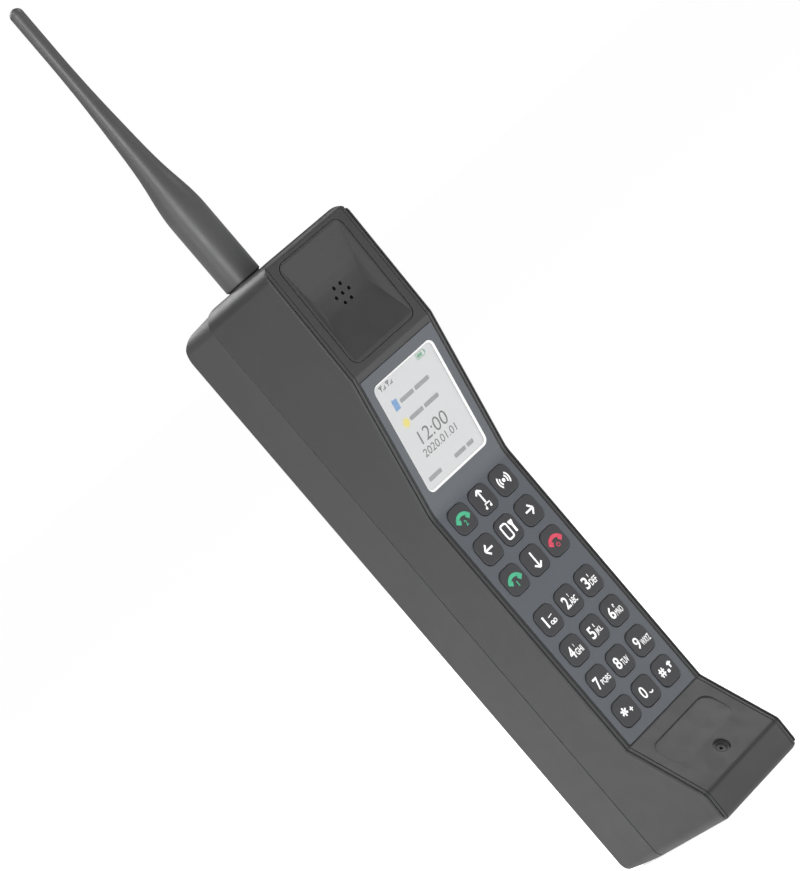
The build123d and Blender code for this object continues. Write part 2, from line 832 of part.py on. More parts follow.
def make_lcd_frame():
    """Pressed tray that carries the display module against the inside of the face."""
    middle = lcd_middle()
    flange_depth = front_wall + fascia_proud
    back_depth = fascia_thickness + gasket_thickness + lcd_thickness
    tray = slab(
        slope_plane(middle, flange_depth),
        lcd_width + 2 * frame_margin,
        lcd_height + 2 * frame_margin,
        tray_corner_radius,
        back_depth + frame_floor - flange_depth,
    )
    tray -= slab(slope_plane(middle, 0), lcd_width, lcd_height, lcd_corner_radius, back_depth)
    rim = slope_plane(lcd_rise + lcd_height, flange_depth)
    slot_width = flex_width + 2 * frame_margin
    slot_height = 2 * frame_margin + OVER
    return tray - slab(rim, slot_width, slot_height, flex_thickness, 3 * flex_thickness)


def make_lcd_flex():
    """Flat flexible circuit from the top of the display module back to the main board."""
    depth = front_wall + fascia_proud + flex_thickness
    start = slope_plane(lcd_rise + lcd_height, depth).origin
    turn = slope_plane(lcd_rise + lcd_height + flex_reach, depth).origin
    landing_y = board_y - flex_thickness / 2
    path = FilletPolyline(
        (start.Y, start.Z),
        (turn.Y, turn.Z),
        (turn.Y + 2 * flex_reach, turn.Z),
        (landing_y, flex_landing_z + flex_landing),
        (landing_y, flex_landing_z),
        radius=[flex_bend, flex_bend, flex_bend],
    )
    strip = trace(path, flex_thickness)
    return extrude(Plane.YZ.offset(-flex_width / 2) * strip, flex_width)


def make_keypad_mat():
    """Silicone sheet under the keys: a block in the key window with a thin skirt behind it."""
    clear_x, clear_z = key_window(2 * fit_gap)
    skirt_x, skirt_z = key_window(-mat_skirt)
    mat = block(clear_x, (mat_y, board_y), clear_z)
    mat += block(skirt_x, (shell_inner_y, board_y), skirt_z)
    for _, x, z in key_places():
        mat -= rod_y(x, z, mat_hole_diameter, mat_y - OVER, board_y + OVER)
    return mat


def make_snap_domes():
    """One pressed metal dome on the board under each key."""
    low_y = board_y - dome_height
    return Compound([rod_y(x, z, dome_diameter, low_y, board_y) for _, x, z in key_places()])


def make_key(x, z):
    """Key cap with its retaining flange and the plunger that reaches for the dome."""
    cap = slab(
        facing(x, fascia_y - key_proud, z),
        key_width,
        key_height,
        key_corner_radius,
        flange_y - fascia_y + key_proud,
    )
    cap = fillet(cap.faces().sort_by(Axis.Y)[0].edges(), key_round)
    flange = slab(
        facing(x, flange_y, z),
        key_width + 2 * key_flange,
        key_height + 2 * key_flange,
        key_corner_radius + key_flange,
        key_flange_thickness,
    )
    return cap + flange + rod_y(x, z, plunger_diameter, flange_back_y, plunger_y)


# ---- boards and what they carry -------------------------------------------------------------
def weight_bay():
    """Notch in the board's edge that the vibration weight turns in."""
    reach = weight_radius + weight_bay_gap
    edge = motor_end_x + weight_gap / 2
    return block((edge, BEYOND), (-BEYOND, BEYOND), (motor_z - reach, motor_z + reach))


def make_main_board():
    """Glass-fibre board behind the keys."""
    board = block(
        (-board_half_width, board_half_width),
        (board_y, board_back_y),
        (board_low_z, board_high_z),
    )
    board -= weight_bay()
    for x, z in board_posts():
        board -= rod_y(x, z, screw_diameter, board_y - OVER, board_back_y + OVER)
    return board


def screw(x, z, seat_y, length):
    """Pan-head screw whose head sits on a seat and whose shank runs along -Y."""
    top = seat_y + screw_head_height
    head = rod_y(x, z, screw_head_diameter, seat_y, top)
    head = fillet(head.edges().sort_by(Axis.Y)[-1], screw_head_height / 3)
    cross = screw_head_diameter / 2
    slot_depth = screw_head_height / 2
    for width, height in ((cross, cross / 4), (cross / 4, cross)):
        head -= block(
            (x - width / 2, x + width / 2),
            (top - slot_depth, top + OVER),
            (z - height / 2, z + height / 2),
        )
    return head + rod_y(x, z, screw_diameter, seat_y - length, seat_y)


def make_board_screws():
    """The four screws that hold the main board."""
    length = board_thickness + board_screw_grip
    return Compound([screw(x, z, board_back_y, length) for x, z in board_posts()])


def make_shell_screws():
    """The four screws that close the shells."""
    seat = parting_y + shell_screw_depth
    length = shell_screw_depth + shell_screw_grip
    return Compound([screw(x, z, seat, length) for x, z in screw_posts()])


def on_board_back(x_range, z_range, height):
    """Component standing on the back of the main board."""
    return block(x_range, (board_back_y, board_back_y + height), z_range)


def make_shield_cans():
    """Pressed screening cans."""
    return Compound(
        [on_board_back((x0, x1), (z0, z1), can_height) for x0, x1, z0, z1 in can_places]
    )


def make_chips():
    """Bare chips on the main board."""
    return Compound(
        [on_board_back((x0, x1), (z0, z1), chip_height) for x0, x1, z0, z1 in chip_places]
    )


def make_usb_socket():
    """Charging socket in the right side: a folded shell round a tongue."""
    inner_x = cavity_half_width - usb_depth
    z_low = usb_z - usb_width / 2
    z_high = usb_z + usb_width / 2
    socket = on_board_back((inner_x, cavity_half_width), (z_low, z_high), usb_height)
    mouth = block(
        (inner_x + usb_back, cavity_half_width + OVER),
        (board_back_y + usb_shell, board_back_y + usb_height - usb_shell),
        (z_low + usb_shell, z_high - usb_shell),
    )
    tongue_y = board_back_y + usb_height / 2
    tongue = block(
        (inner_x, cavity_half_width - usb_back),
        (tongue_y - usb_shell / 2, tongue_y + usb_shell / 2),
        (z_low + 3 * usb_shell, z_high - 3 * usb_shell),
    )
    return socket - mouth + tongue


def make_vibration_motor():
    """Motor can on the back of the main board, with a bore for its shaft."""
    can = rod_x(motor_y, motor_z, motor_diameter, motor_end_x - motor_length, motor_end_x)
    bore = motor_shaft_diameter + 2 * shaft_fit
    return can - rod_x(motor_y, motor_z, bore, motor_end_x - shaft_depth, motor_end_x + OVER)


def make_motor_shaft():
    """Shaft of the vibration motor."""
    end_x = motor_end_x + weight_gap + weight_length
    start_x = motor_end_x - shaft_depth + shaft_fit
    return rod_x(motor_y, motor_z, motor_shaft_diameter, start_x, end_x)


def make_vibration_weight():
    """Half-round weight pressed on the shaft, its heavy side hanging down."""
    x_low = motor_end_x + weight_gap
    x_high = x_low + weight_length
    weight = rod_x(motor_y, motor_z, 2 * weight_radius, x_low, x_high)
    cut_z = motor_z + motor_shaft_diameter
    weight -= block((x_low - OVER, x_high + OVER), (-BEYOND, BEYOND), (cut_z, BEYOND))
    return weight - rod_x(motor_y, motor_z, motor_shaft_diameter, x_low - OVER, x_high + OVER)


def make_speaker():
    """Earpiece speaker: frame with a shallow cone on its front."""
    front = ear_inner_y + speaker_gasket_thickness
    body = rod_y(0, ear_hole_z, speaker_diameter, front, front + speaker_thickness)
    cone = speaker_diameter - 2 * speaker_rim
    dish = rod_y(0, ear_hole_z, cone, front - OVER, front + speaker_cone_depth)
    return body - dish


def make_speaker_gasket():
    """Foam ring that seals the earpiece speaker to the face."""
    back = ear_inner_y + speaker_gasket_thickness
    ring = rod_y(0, ear_hole_z, speaker_diameter, ear_inner_y, back)
    cone = speaker_diameter - 2 * speaker_rim
    return ring - rod_y(0, ear_hole_z, cone, ear_inner_y - OVER, back + OVER)


def lead(x, points):
    """Insulated wire along a path of (y, z) points at one x."""
    path = FilletPolyline(
        *[(x, y, z) for y, z in points], radius=[lead_bend] * (len(points) - 2)
    )
    plane = Plane(origin=path @ 0, z_dir=path % 0)
    return sweep(plane * Circle(lead_diameter / 2), path=path)


def make_speaker_leads():
    """Two wires from the earpiece speaker to the main board."""
    back = ear_inner_y + speaker_gasket_thickness + speaker_thickness
    start_z = ear_hole_z - lead_offset
    points = [
        (back, start_z),
        (back + lead_reach, start_z),
        (board_y - lead_reach, start_z - lead_drop),
        (board_y, start_z - lead_drop),
    ]
    return Compound([lead(x, points) for x in (-lead_spacing, lead_spacing)])


def make_microphone():
    """Microphone capsule behind the dimple in the chin."""
    face = chin_plane(mic_drop(), front_wall).location
    return face * (Pos(0, 0, -mic_thickness / 2) * Cylinder(mic_diameter / 2, mic_thickness))


def make_mic_boot():
    """Rubber sleeve round the microphone."""
    face = chin_plane(mic_drop(), front_wall).location
    outer = Cylinder(mic_diameter / 2 + mic_boot_wall, mic_thickness)
    boot = outer - Cylinder(mic_diameter / 2, mic_thickness + OVER)
    return face * (Pos(0, 0, -mic_thickness / 2) * boot)


def make_mic_leads():
    """Two wires from the microphone to the lower edge of the main board."""
    start = chin_plane(mic_drop(), front_wall + mic_thickness).origin
    away = chin_plane(mic_drop(), front_wall + mic_thickness + lead_reach).origin
    middle_y = (board_y + board_back_y) / 2
    points = [
        (start.Y, start.Z),
        (away.Y, away.Z),
        (middle_y, board_low_z - lead_reach),
        (middle_y, board_low_z),
    ]
    return Compound([lead(x, points) for x in (-lead_spacing / 2, lead_spacing / 2)])


def make_loudspeaker():
    """Ringer and music loudspeaker behind the rear grille."""
    body = rod_y(0, horn_z, horn_diameter, back_inner_y - horn_thickness, back_inner_y)
    cone = horn_diameter - 2 * horn_rim
    dish = rod_y(0, horn_z, cone, back_inner_y - horn_cone_depth, back_inner_y + OVER)
    return body - dish


# ---- battery bay ----------------------------------------------------------------------------
def make_battery():
    """Battery pack, standing at the foot of its bay."""
    low = bay_low_z + battery_foot_gap
    pack = block(
        (-battery_width / 2, battery_width / 2),
        (bay_seat_y, bay_seat_y + battery_thickness),
        (low, low + battery_height),
    )
    return fillet(pack.edges().filter_by(Axis.Z), battery_round)


def make_battery_board():
    """Small board under the bay floor that carries the card sockets and contacts."""
    return block(
        (-battery_width / 2, battery_width / 2),
        (bay_floor_y - battery_board_thickness, bay_floor_y),
        (bay_centre_z - sim_height, bay_high_z - battery_board_gap),
    )


def make_battery_contacts():
    """Contact block at the top of the bay with three sprung fingers on the battery."""
    battery_top = bay_low_z + battery_foot_gap + battery_height
    middle_y = bay_seat_y + battery_thickness / 2
    block_low = bay_high_z - contact_block_height
    contacts = block(
        (-contact_block_width / 2, contact_block_width / 2),
        (middle_y - contact_block_depth / 2, middle_y + contact_block_depth / 2),
        (block_low, bay_high_z),
    )
    for x in (-finger_pitch, 0, finger_pitch):
        contacts += block(
            (x - finger_width / 2, x + finger_width / 2),
            (middle_y - finger_depth / 2, middle_y + finger_depth / 2),
            (battery_top, block_low),
        )
    return contacts


def make_sim_sockets():
    """Two card sockets let into the bay floor under the battery."""
    sockets = []
    z_low = bay_centre_z - sim_height / 2
    z_high = bay_centre_z + sim_height / 2
    for x in sim_columns:
        x_low = x - sim_width / 2
        x_high = x + sim_width / 2
        socket = block((x_low, x_high), (bay_floor_y, bay_floor_y + sim_thickness), (z_low, z_high))
        tray = block(
            (x_low + sim_wall, x_high - sim_wall),
            (bay_floor_y + sim_floor, BEYOND),
            (z_low + sim_wall, z_high + OVER),
        )
        sockets.append(socket - tray)
    return Compound(sockets)


def make_battery_cover():
    """Cover plate with its locating rib and a ribbed grip."""
    plate = slab(
        facing(0, back_y - cover_thickness, bay_centre_z),
        cover_width, cover_height, cover_corner_radius, cover_thickness,
    )
    rib_width = cover_width - 2 * cover_ledge - 2 * cover_gap
    rib_height = cover_height - 2 * cover_ledge - 2 * cover_gap
    rib_face = facing(0, back_inner_y - cover_rib_depth, bay_centre_z)
    rib_length = back_wall - cover_thickness + cover_rib_depth
    rib = slab(rib_face, rib_width, rib_height, cover_inner_radius, rib_length)
    rib -= slab(
        rib_face, rib_width - 2 * cover_rib, rib_height - 2 * cover_rib,
        cover_inner_radius - cover_rib, rib_length,
    )
    cover = plate + rib
    for n in range(grip_ribs):
        z = bay_centre_z - cover_height / 2 + grip_low + n * grip_pitch
        groove = SlotOverall(grip_length, grip_width)
        cover -= extrude(facing(0, back_y - grip_depth, z) * groove, -OVER)
    return cover


# ---- antenna and torch ----------------------------------------------------------------------
def taper_radius(share):
    """Radius of the sleeve part of the way up its taper: most of it is lost early."""
    base = antenna_base_diameter / 2
    tip = antenna_tip_diameter / 2
    return tip + (base - tip) * (1 - share) ** taper_power


def make_antenna_sleeve():
    """Moulded sleeve: straight at the base, then a bell-shaped taper to a slim rounded tip."""
    low = body_height + washer_thickness
    high = body_height + antenna_length
    base = antenna_base_diameter / 2
    tip = antenna_tip_diameter / 2
    taper_low = low + antenna_straight
    shares = [0.0, 0.25, 0.5, 0.75, 1.0]
    taper = Spline(
        *[(taper_radius(share), taper_low + share * antenna_taper) for share in shares],
        tangents=[(0, 1), (0, 1)],
    )
    outline = Polyline((tip, high - tip), (tip, taper_low + antenna_taper))
    foot = Polyline(
        (base, taper_low), (base, low + base_round), (base - base_round, low), (0, low), (0, high)
    )
    crown = CenterArc((0, high - tip), tip, 0, 90)
    section = Plane.XZ * make_face(Wire([*foot.edges(), *taper.edges(), *outline.edges(), crown]))
    sleeve = Pos(antenna_x, antenna_y, 0) * revolve(section, Axis.Z)
    sleeve -= rod_z(antenna_x, antenna_y, core_diameter, low, low + stud_rise + core_length)
    return sleeve - rod_z(antenna_x, antenna_y, stud_diameter, low - OVER, low + stud_rise)


def make_antenna_core():
    """Wire radiator inside the sleeve."""
    low = body_height + washer_thickness + stud_rise
    return rod_z(antenna_x, antenna_y, core_diameter, low, low + core_length)


def make_antenna_stud():
    """Brass stud moulded into the sleeve's base, which screws into the insert."""
    low = body_height - stud_depth
    high = body_height + washer_thickness + stud_rise
    stud = rod_z(antenna_x, antenna_y, stud_diameter, low, high)
    return chamfer(stud.edges().sort_by(Axis.Z)[0], stud_diameter / 10)


def make_antenna_washer():
    """Thin washer between the sleeve and the crown."""
    bore = stud_diameter + 2 * stud_fit
    ring = rod_z(antenna_x, antenna_y, washer_diameter, body_height, body_height + washer_thickness)
    return ring - rod_z(antenna_x, antenna_y, bore, body_height - OVER, body_height + OVER)


def make_antenna_insert():
    """Threaded brass insert in the crown."""
    low = body_height - insert_depth
    high = body_height - insert_sink
    ring = rod_z(antenna_x, antenna_y, insert_diameter, low, high)
    bore = stud_diameter + 2 * stud_fit
    return ring - rod_z(antenna_x, antenna_y, bore, low - OVER, high + OVER)


def make_antenna_contact():
    """Sprung strip from the main board up to the end of the stud."""
    stud_end = body_height - stud_depth
    boss_low = body_height - insert_depth - insert_floor
    strip = contact_thickness
    arm_z = boss_low - 2 * strip
    leg_y = (board_back_y, board_back_y + strip)
    x_range = (antenna_x - contact_width / 2, antenna_x + contact_width / 2)
    leg = block(x_range, leg_y, (board_high_z - contact_foot, arm_z))
    arm = block(x_range, (board_back_y, antenna_y + contact_width / 2), (arm_z - strip, arm_z))
    nub = rod_z(antenna_x, antenna_y, contact_width, arm_z - strip / 2, stud_end)
    return leg + arm + nub


def make_torch_lens():
    """Clear torch lens set in the crown, held by a flange underneath."""
    flange_low = body_height - front_wall - torch_flange
    lens = rod_z(torch_x, torch_y, torch_diameter, flange_low, body_height - seam_depth)
    flange = torch_diameter + 2 * torch_flange
    return lens + rod_z(torch_x, torch_y, flange, flange_low, body_height - front_wall)


def make_torch_led():
    """Torch lamp on two legs that stand on the top of the main board."""
    lamp_low = body_height - front_wall - torch_flange - led_height - led_gap
    lamp = rod_z(torch_x, torch_y, led_diameter, lamp_low, lamp_low + led_height)
    lamp = fillet(lamp.edges().sort_by(Axis.Z)[-1], led_diameter / 3)
    for side in (-led_leg_spacing / 2, led_leg_spacing / 2):
        x = torch_x + side
        lamp += block(
            (x - led_leg / 2, x + led_leg / 2),
            (board_back_y, board_back_y + led_leg),
            (board_high_z - led_leg_foot, lamp_low + led_leg),
        )
    return lamp


# ---- everything, one file per piece ---------------------------------------------------------
def all_pieces():
    """Every piece by name."""
    pieces = {
        "front_shell": make_front_shell(),
        "rear_shell": make_rear_shell(),
        "fascia_panel": make_fascia(),
        "display_lens": make_display_lens(),
        "display_gasket": make_display_gasket(),
        "lcd_module": make_lcd_module(),
        "lcd_frame": make_lcd_frame(),
        "lcd_flex": make_lcd_flex(),
        "keypad_mat": make_keypad_mat(),
        "snap_domes": make_snap_domes(),
        "main_board": make_main_board(),
        "board_screws": make_board_screws(),
        "shell_screws": make_shell_screws(),
        "shield_cans": make_shield_cans(),
        "chips": make_chips(),
        "usb_socket": make_usb_socket(),
        "vibration_motor": make_vibration_motor(),
        "motor_shaft": make_motor_shaft(),
        "vibration_weight": make_vibration_weight(),
        "earpiece_speaker": make_speaker(),
        "earpiece_gasket": make_speaker_gasket(),
        "speaker_leads": make_speaker_leads(),
        "microphone": make_microphone(),
        "mic_boot": make_mic_boot(),
        "mic_leads": make_mic_leads(),
        "loudspeaker": make_loudspeaker(),
        "battery_pack": make_battery(),
        "battery_board": make_battery_board(),
        "battery_contacts": make_battery_contacts(),
        "sim_sockets": make_sim_sockets(),
        "battery_cover": make_battery_cover(),
        "antenna_sleeve": make_antenna_sleeve(),
        "antenna_core": make_antenna_core(),
        "antenna_stud": make_antenna_stud(),
        "antenna_washer": make_antenna_washer(),
        "antenna_insert": make_antenna_insert(),
        "antenna_contact": make_antenna_contact(),
        "torch_lens": make_torch_lens(),
        "torch_led": make_torch_led(),
    }
    for name, x, z in key_places():
        pieces[name] = make_key(x, z)
    return pieces


for piece_name, piece in all_pieces().items():
    piece.label = piece_name
    export_step(piece, f"parts/{piece_name}.step")
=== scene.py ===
"""Looks of a brick-style mobile phone: finishes, printed legends, lit display and studio."""
import json
import logging
import math
from dataclasses import dataclass
from enum import Enum
from typing import Any, Sequence

import bmesh
import bpy
from mathutils import Matrix, Vector


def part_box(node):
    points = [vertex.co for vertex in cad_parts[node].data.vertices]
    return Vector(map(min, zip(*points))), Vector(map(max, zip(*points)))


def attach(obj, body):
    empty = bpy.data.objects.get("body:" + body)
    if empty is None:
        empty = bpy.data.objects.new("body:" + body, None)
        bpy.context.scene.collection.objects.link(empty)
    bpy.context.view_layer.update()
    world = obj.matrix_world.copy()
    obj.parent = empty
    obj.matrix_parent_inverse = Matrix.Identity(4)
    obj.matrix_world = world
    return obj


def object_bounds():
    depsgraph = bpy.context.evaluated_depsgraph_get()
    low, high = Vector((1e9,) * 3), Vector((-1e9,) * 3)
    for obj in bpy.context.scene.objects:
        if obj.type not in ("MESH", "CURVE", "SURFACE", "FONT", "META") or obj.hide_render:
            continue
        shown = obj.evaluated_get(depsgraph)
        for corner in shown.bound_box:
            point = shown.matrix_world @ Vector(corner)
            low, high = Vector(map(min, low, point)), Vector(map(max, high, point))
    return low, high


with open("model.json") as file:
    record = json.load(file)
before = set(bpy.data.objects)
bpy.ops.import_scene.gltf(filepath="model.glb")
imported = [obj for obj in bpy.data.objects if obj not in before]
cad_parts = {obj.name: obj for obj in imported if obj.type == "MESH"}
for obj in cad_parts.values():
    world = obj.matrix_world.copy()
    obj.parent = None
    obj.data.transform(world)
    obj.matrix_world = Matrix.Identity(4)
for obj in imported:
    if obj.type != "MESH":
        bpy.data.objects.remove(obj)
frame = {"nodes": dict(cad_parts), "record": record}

CAD_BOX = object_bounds()
LOG = logging.getLogger("phone")
MM = 0.001
WHITE = (1.0, 1.0, 1.0, 1.0)
UPRIGHT = Vector((0, 0, 1))
FORWARD = Vector((0, -1, 0))
Point = tuple[float, float]
Spot = tuple[float, float, float]


# ---- colours and nodes ----------------------------------------------------------------------
def linear(code: str, alpha: float = 1.0) -> tuple[float, float, float, float]:
    """Turns an sRGB hex colour into linear values.

    Args:
        code: six hex digits, with or without a leading #.
        alpha: the fourth value.

    Returns:
        Linear red, green and blue, and alpha.
    """
    values = []
    digits = code.lstrip("#")
    for start in (0, 2, 4):
        share = int(digits[start:start + 2], 16) / 255
        values.append(share / 12.92 if share <= 0.04045 else ((share + 0.055) / 1.055) ** 2.4)
    return (*values, alpha)


def around(turn: float) -> Vector:
    """Points a flat vector of length 1 at an angle.

    Args:
        turn: the angle from the right, in degrees, turning left.

    Returns:
        The vector.
    """
    return Vector((math.cos(math.radians(turn)), math.sin(math.radians(turn))))


def add(
    tree: bpy.types.NodeTree, kind: str, inputs: dict[Any, Any], **settings: Any
) -> bpy.types.Node:
    """Adds a node, sets it and links it.

    Args:
        tree: the tree that it goes in.
        kind: the node's Blender type.
        inputs: a value, or the socket to link from, for each named or numbered input.
        settings: the node's own properties.

    Returns:
        The new node.
    """
    node = tree.nodes.new(kind)
    for key, value in settings.items():
        setattr(node, key, value)
    for key, value in inputs.items():
        if isinstance(value, bpy.types.NodeSocket):
            tree.links.new(value, node.inputs[key])
        else:
            node.inputs[key].default_value = value
    return node


@dataclass(frozen=True)
class Finish:
    """What every finish has.

    Attributes:
        name: what the real material is and how it is made.
        colour: sRGB hex digits.
        roughness: the middle of its roughness.
        grain_mm: how large one grain of the surface is, in millimetres.
        depth_mm: how deep the grain is, in millimetres.
        mottle: how much darker and lighter its patches are, as a share.
        mottle_mm: how large a patch is, in millimetres.
        gloss_spread: how far the roughness wanders each way.
    """

    name: str
    colour: str
    roughness: float = 0.5
    grain_mm: float = 0.6
    depth_mm: float = 0.01
    mottle: float = 0.06
    mottle_mm: float = 14.0
    gloss_spread: float = 0.04

    def material(self) -> bpy.types.Material:
        """Makes the material, or finds it if another piece has it already.

        Returns:
            The material.
        """
        found = bpy.data.materials.get(self.name)
        if found is not None:
            return found
        made = bpy.data.materials.new(self.name)
        made.use_nodes = True
        tree = made.node_tree
        tree.nodes.clear()
        shader = add(tree, "ShaderNodeBsdfPrincipled", {})
        add(tree, "ShaderNodeOutputMaterial", {"Surface": shader.outputs["BSDF"]})
        self.dress(tree, shader)
        return made

    def noise(
        self, tree: bpy.types.NodeTree, size_mm: float, detail: float
    ) -> bpy.types.NodeSocket:
        """Adds noise on object coordinates.

        Args:
            tree: the tree that it goes in.
            size_mm: how large one speck is, in millimetres.
            detail: how many finer layers it has.

        Returns:
            The socket that gives its height.
        """
        place = add(tree, "ShaderNodeTexCoord", {}).outputs["Object"]
        inputs = {"Vector": place, "Scale": 1 / (size_mm * MM), "Detail": detail, "Roughness": 0.6}
        return add(tree, "ShaderNodeTexNoise", inputs).outputs["Fac"]

    def mottled(self, tree: bpy.types.NodeTree) -> bpy.types.NodeSocket:
        """Makes the colour a little darker and lighter in broad soft patches.

        Args:
            tree: the tree that it goes in.

        Returns:
            The socket that gives the colour.
        """
        base = Vector(linear(self.colour)[:3])
        patches = self.noise(tree, self.mottle_mm, 3.0)
        ramp = add(tree, "ShaderNodeValToRGB", {"Fac": patches})
        ramp.color_ramp.elements[0].position = 0.3
        ramp.color_ramp.elements[1].position = 0.7
        ramp.color_ramp.elements[0].color = (*(base * (1 - self.mottle)), 1)
        ramp.color_ramp.elements[1].color = (*(base * (1 + self.mottle)), 1)
        return ramp.outputs["Color"]

    def uneven_gloss(self, tree: bpy.types.NodeTree) -> bpy.types.NodeSocket:
        """Lets the roughness wander a little about its middle value.

        Args:
            tree: the tree that it goes in.

        Returns:
            The socket that gives the roughness.
        """
        inputs = {
            "Value": self.noise(tree, self.mottle_mm / 3, 4.0),
            "From Min": 0.3,
            "From Max": 0.7,
            "To Min": self.roughness - self.gloss_spread,
            "To Max": self.roughness + self.gloss_spread,
        }
        return add(tree, "ShaderNodeMapRange", inputs).outputs["Result"]

    def bumped(
        self, tree: bpy.types.NodeTree, height: bpy.types.NodeSocket
    ) -> bpy.types.NodeSocket:
        """Makes the surface stand up by the finish's depth.

        Args:
            tree: the tree that it goes in.
            height: the socket that gives the height of each spot, from 0 to 1.

        Returns:
            The socket that gives the normals.
        """
        inputs = {"Height": height, "Distance": self.depth_mm * MM, "Strength": 1.0}
        return add(tree, "ShaderNodeBump", inputs).outputs["Normal"]

    def dress(self, tree: bpy.types.NodeTree, shader: bpy.types.Node) -> None:
        """Links the surface to the shader.

        Args:
            tree: the material's tree.
            shader: its Principled BSDF node.
        """
        tree.links.new(self.mottled(tree), shader.inputs["Base Color"])
        tree.links.new(self.uneven_gloss(tree), shader.inputs["Roughness"])
        grain = self.noise(tree, self.grain_mm, 2.0)
        tree.links.new(self.bumped(tree, grain), shader.inputs["Normal"])


@dataclass(frozen=True)
class MouldedAbs(Finish):
    """ABS moulded in a spark-eroded tool: satin, with a fine even grain.

    Attributes:
        ior: the plastic's refractive index.
        edge_mm: how round the tool leaves an edge, in millimetres.
        edge_samples: how many rays find the edges.
    """

    ior: float = 1.5
    edge_mm: float = 0.3
    edge_samples: int = 6

    def dress(self, tree: bpy.types.NodeTree, shader: bpy.types.Node) -> None:
        """Adds the plastic's own refraction, and edges that the tool leaves a little round.

        Args:
            tree: the material's tree.
            shader: its Principled BSDF node.
        """
        super().dress(tree, shader)
        shader.inputs["IOR"].default_value = self.ior
        radius = self.edge_mm * MM
        edge = add(tree, "ShaderNodeBevel", {"Radius": radius}, samples=self.edge_samples)
        bump = shader.inputs["Normal"].links[0].from_node
        tree.links.new(edge.outputs["Normal"], bump.inputs["Normal"])


@dataclass(frozen=True)
class Metal(Finish):
    """Plain metal whose drawing or turning marks run along one axis.

    Attributes:
        stretch: how often the marks repeat along each axis, so a small number draws them long.
    """

    stretch: Spot = (1.0, 1.0, 0.05)
    gloss_spread: float = 0.05

    def dress(self, tree: bpy.types.NodeTree, shader: bpy.types.Node) -> None:
        """Draws the marks as noise stretched along the axis.

        Args:
            tree: the material's tree.
            shader: its Principled BSDF node.
        """
        tree.links.new(self.mottled(tree), shader.inputs["Base Color"])
        shader.inputs["Metallic"].default_value = 1.0
        tree.links.new(self.uneven_gloss(tree), shader.inputs["Roughness"])
        place = add(tree, "ShaderNodeTexCoord", {}).outputs["Object"]
        drawn = add(tree, "ShaderNodeMapping", {"Vector": place, "Scale": self.stretch})
        scale = 1 / (self.grain_mm * MM)
        inputs = {"Vector": drawn.outputs["Vector"], "Scale": scale, "Detail": 3.0}
        marks = add(tree, "ShaderNodeTexNoise", inputs).outputs["Fac"]
        tree.links.new(self.bumped(tree, marks), shader.inputs["Normal"])


@dataclass(frozen=True)
class ClearAcrylic(Finish):
    """Clear acrylic, smooth enough to show a clean reflection.

    Attributes:
        ior: the plastic's refractive index.
    """

    ior: float = 1.49

    def dress(self, tree: bpy.types.NodeTree, shader: bpy.types.Node) -> None:
        """Lets light through, with the faintest waviness from moulding.

        Args:
            tree: the material's tree.
            shader: its Principled BSDF node.
        """
        shader.inputs["Base Color"].default_value = linear(self.colour)
        shader.inputs["Roughness"].default_value = self.roughness
        shader.inputs["IOR"].default_value = self.ior
        shader.inputs["Transmission Weight"].default_value = 1.0
        waves = self.noise(tree, self.grain_mm, 1.0)
        tree.links.new(self.bumped(tree, waves), shader.inputs["Normal"])


@dataclass(frozen=True)
class LitRows(Finish):
    """Lit part of a colour display, whose rows are drawn coarser than real so that they show.

    Attributes:
        strength: how strongly it shines.
        row_mm: how far one row is from the next, in millimetres.
        row_shade: how bright the line between two rows is, as a share.
        unlit: its colour in the light that falls on it, in sRGB hex digits.
    """

    strength: float = 1.0
    row_mm: float = 0.3
    row_shade: float = 0.97
    unlit: str = "101010"

    def dress(self, tree: bpy.types.NodeTree, shader: bpy.types.Node) -> None:
        """Makes the colour shine, with faint darker lines between the rows.

        Args:
            tree: the material's tree.
            shader: its Principled BSDF node.
        """
        place = add(tree, "ShaderNodeTexCoord", {}).outputs["Object"]
        inputs = {"Vector": place, "Scale": 1 / (self.row_mm * MM) / 2, "Distortion": 0.0}
        rows = add(tree, "ShaderNodeTexWave", inputs, bands_direction="Z").outputs["Fac"]
        base = Vector(linear(self.colour)[:3])
        ramp = add(tree, "ShaderNodeValToRGB", {"Fac": rows})
        ramp.color_ramp.elements[0].color = (*(base * self.row_shade), 1)
        ramp.color_ramp.elements[1].color = (*base, 1)
        tree.links.new(ramp.outputs["Color"], shader.inputs["Emission Color"])
        shader.inputs["Emission Strength"].default_value = self.strength
        shader.inputs["Base Color"].default_value = linear(self.unlit)
        shader.inputs["Roughness"].default_value = self.roughness


@dataclass(frozen=True)
class WovenMesh(Finish):
    """Fine woven cloth over a sound opening.

    Attributes:
        thread_mm: how far one thread is from the next, in millimetres.
    """

    thread_mm: float = 0.25

    def dress(self, tree: bpy.types.NodeTree, shader: bpy.types.Node) -> None:
        """Draws two sets of threads as crossing waves.

        Args:
            tree: the material's tree.
            shader: its Principled BSDF node.
        """
        place = add(tree, "ShaderNodeTexCoord", {}).outputs["Object"]
        waves = []
        for direction in ("X", "Z"):
            inputs = {"Vector": place, "Scale": 1 / (self.thread_mm * MM) / 2}
            wave = add(tree, "ShaderNodeTexWave", inputs, bands_direction=direction)
            waves.append(wave.outputs["Fac"])
        inputs = {0: waves[0], 1: waves[1]}
        weave = add(tree, "ShaderNodeMath", inputs, operation="MULTIPLY").outputs["Value"]
        tree.links.new(self.mottled(tree), shader.inputs["Base Color"])
        shader.inputs["Roughness"].default_value = self.roughness
        tree.links.new(self.bumped(tree, weave), shader.inputs["Normal"])


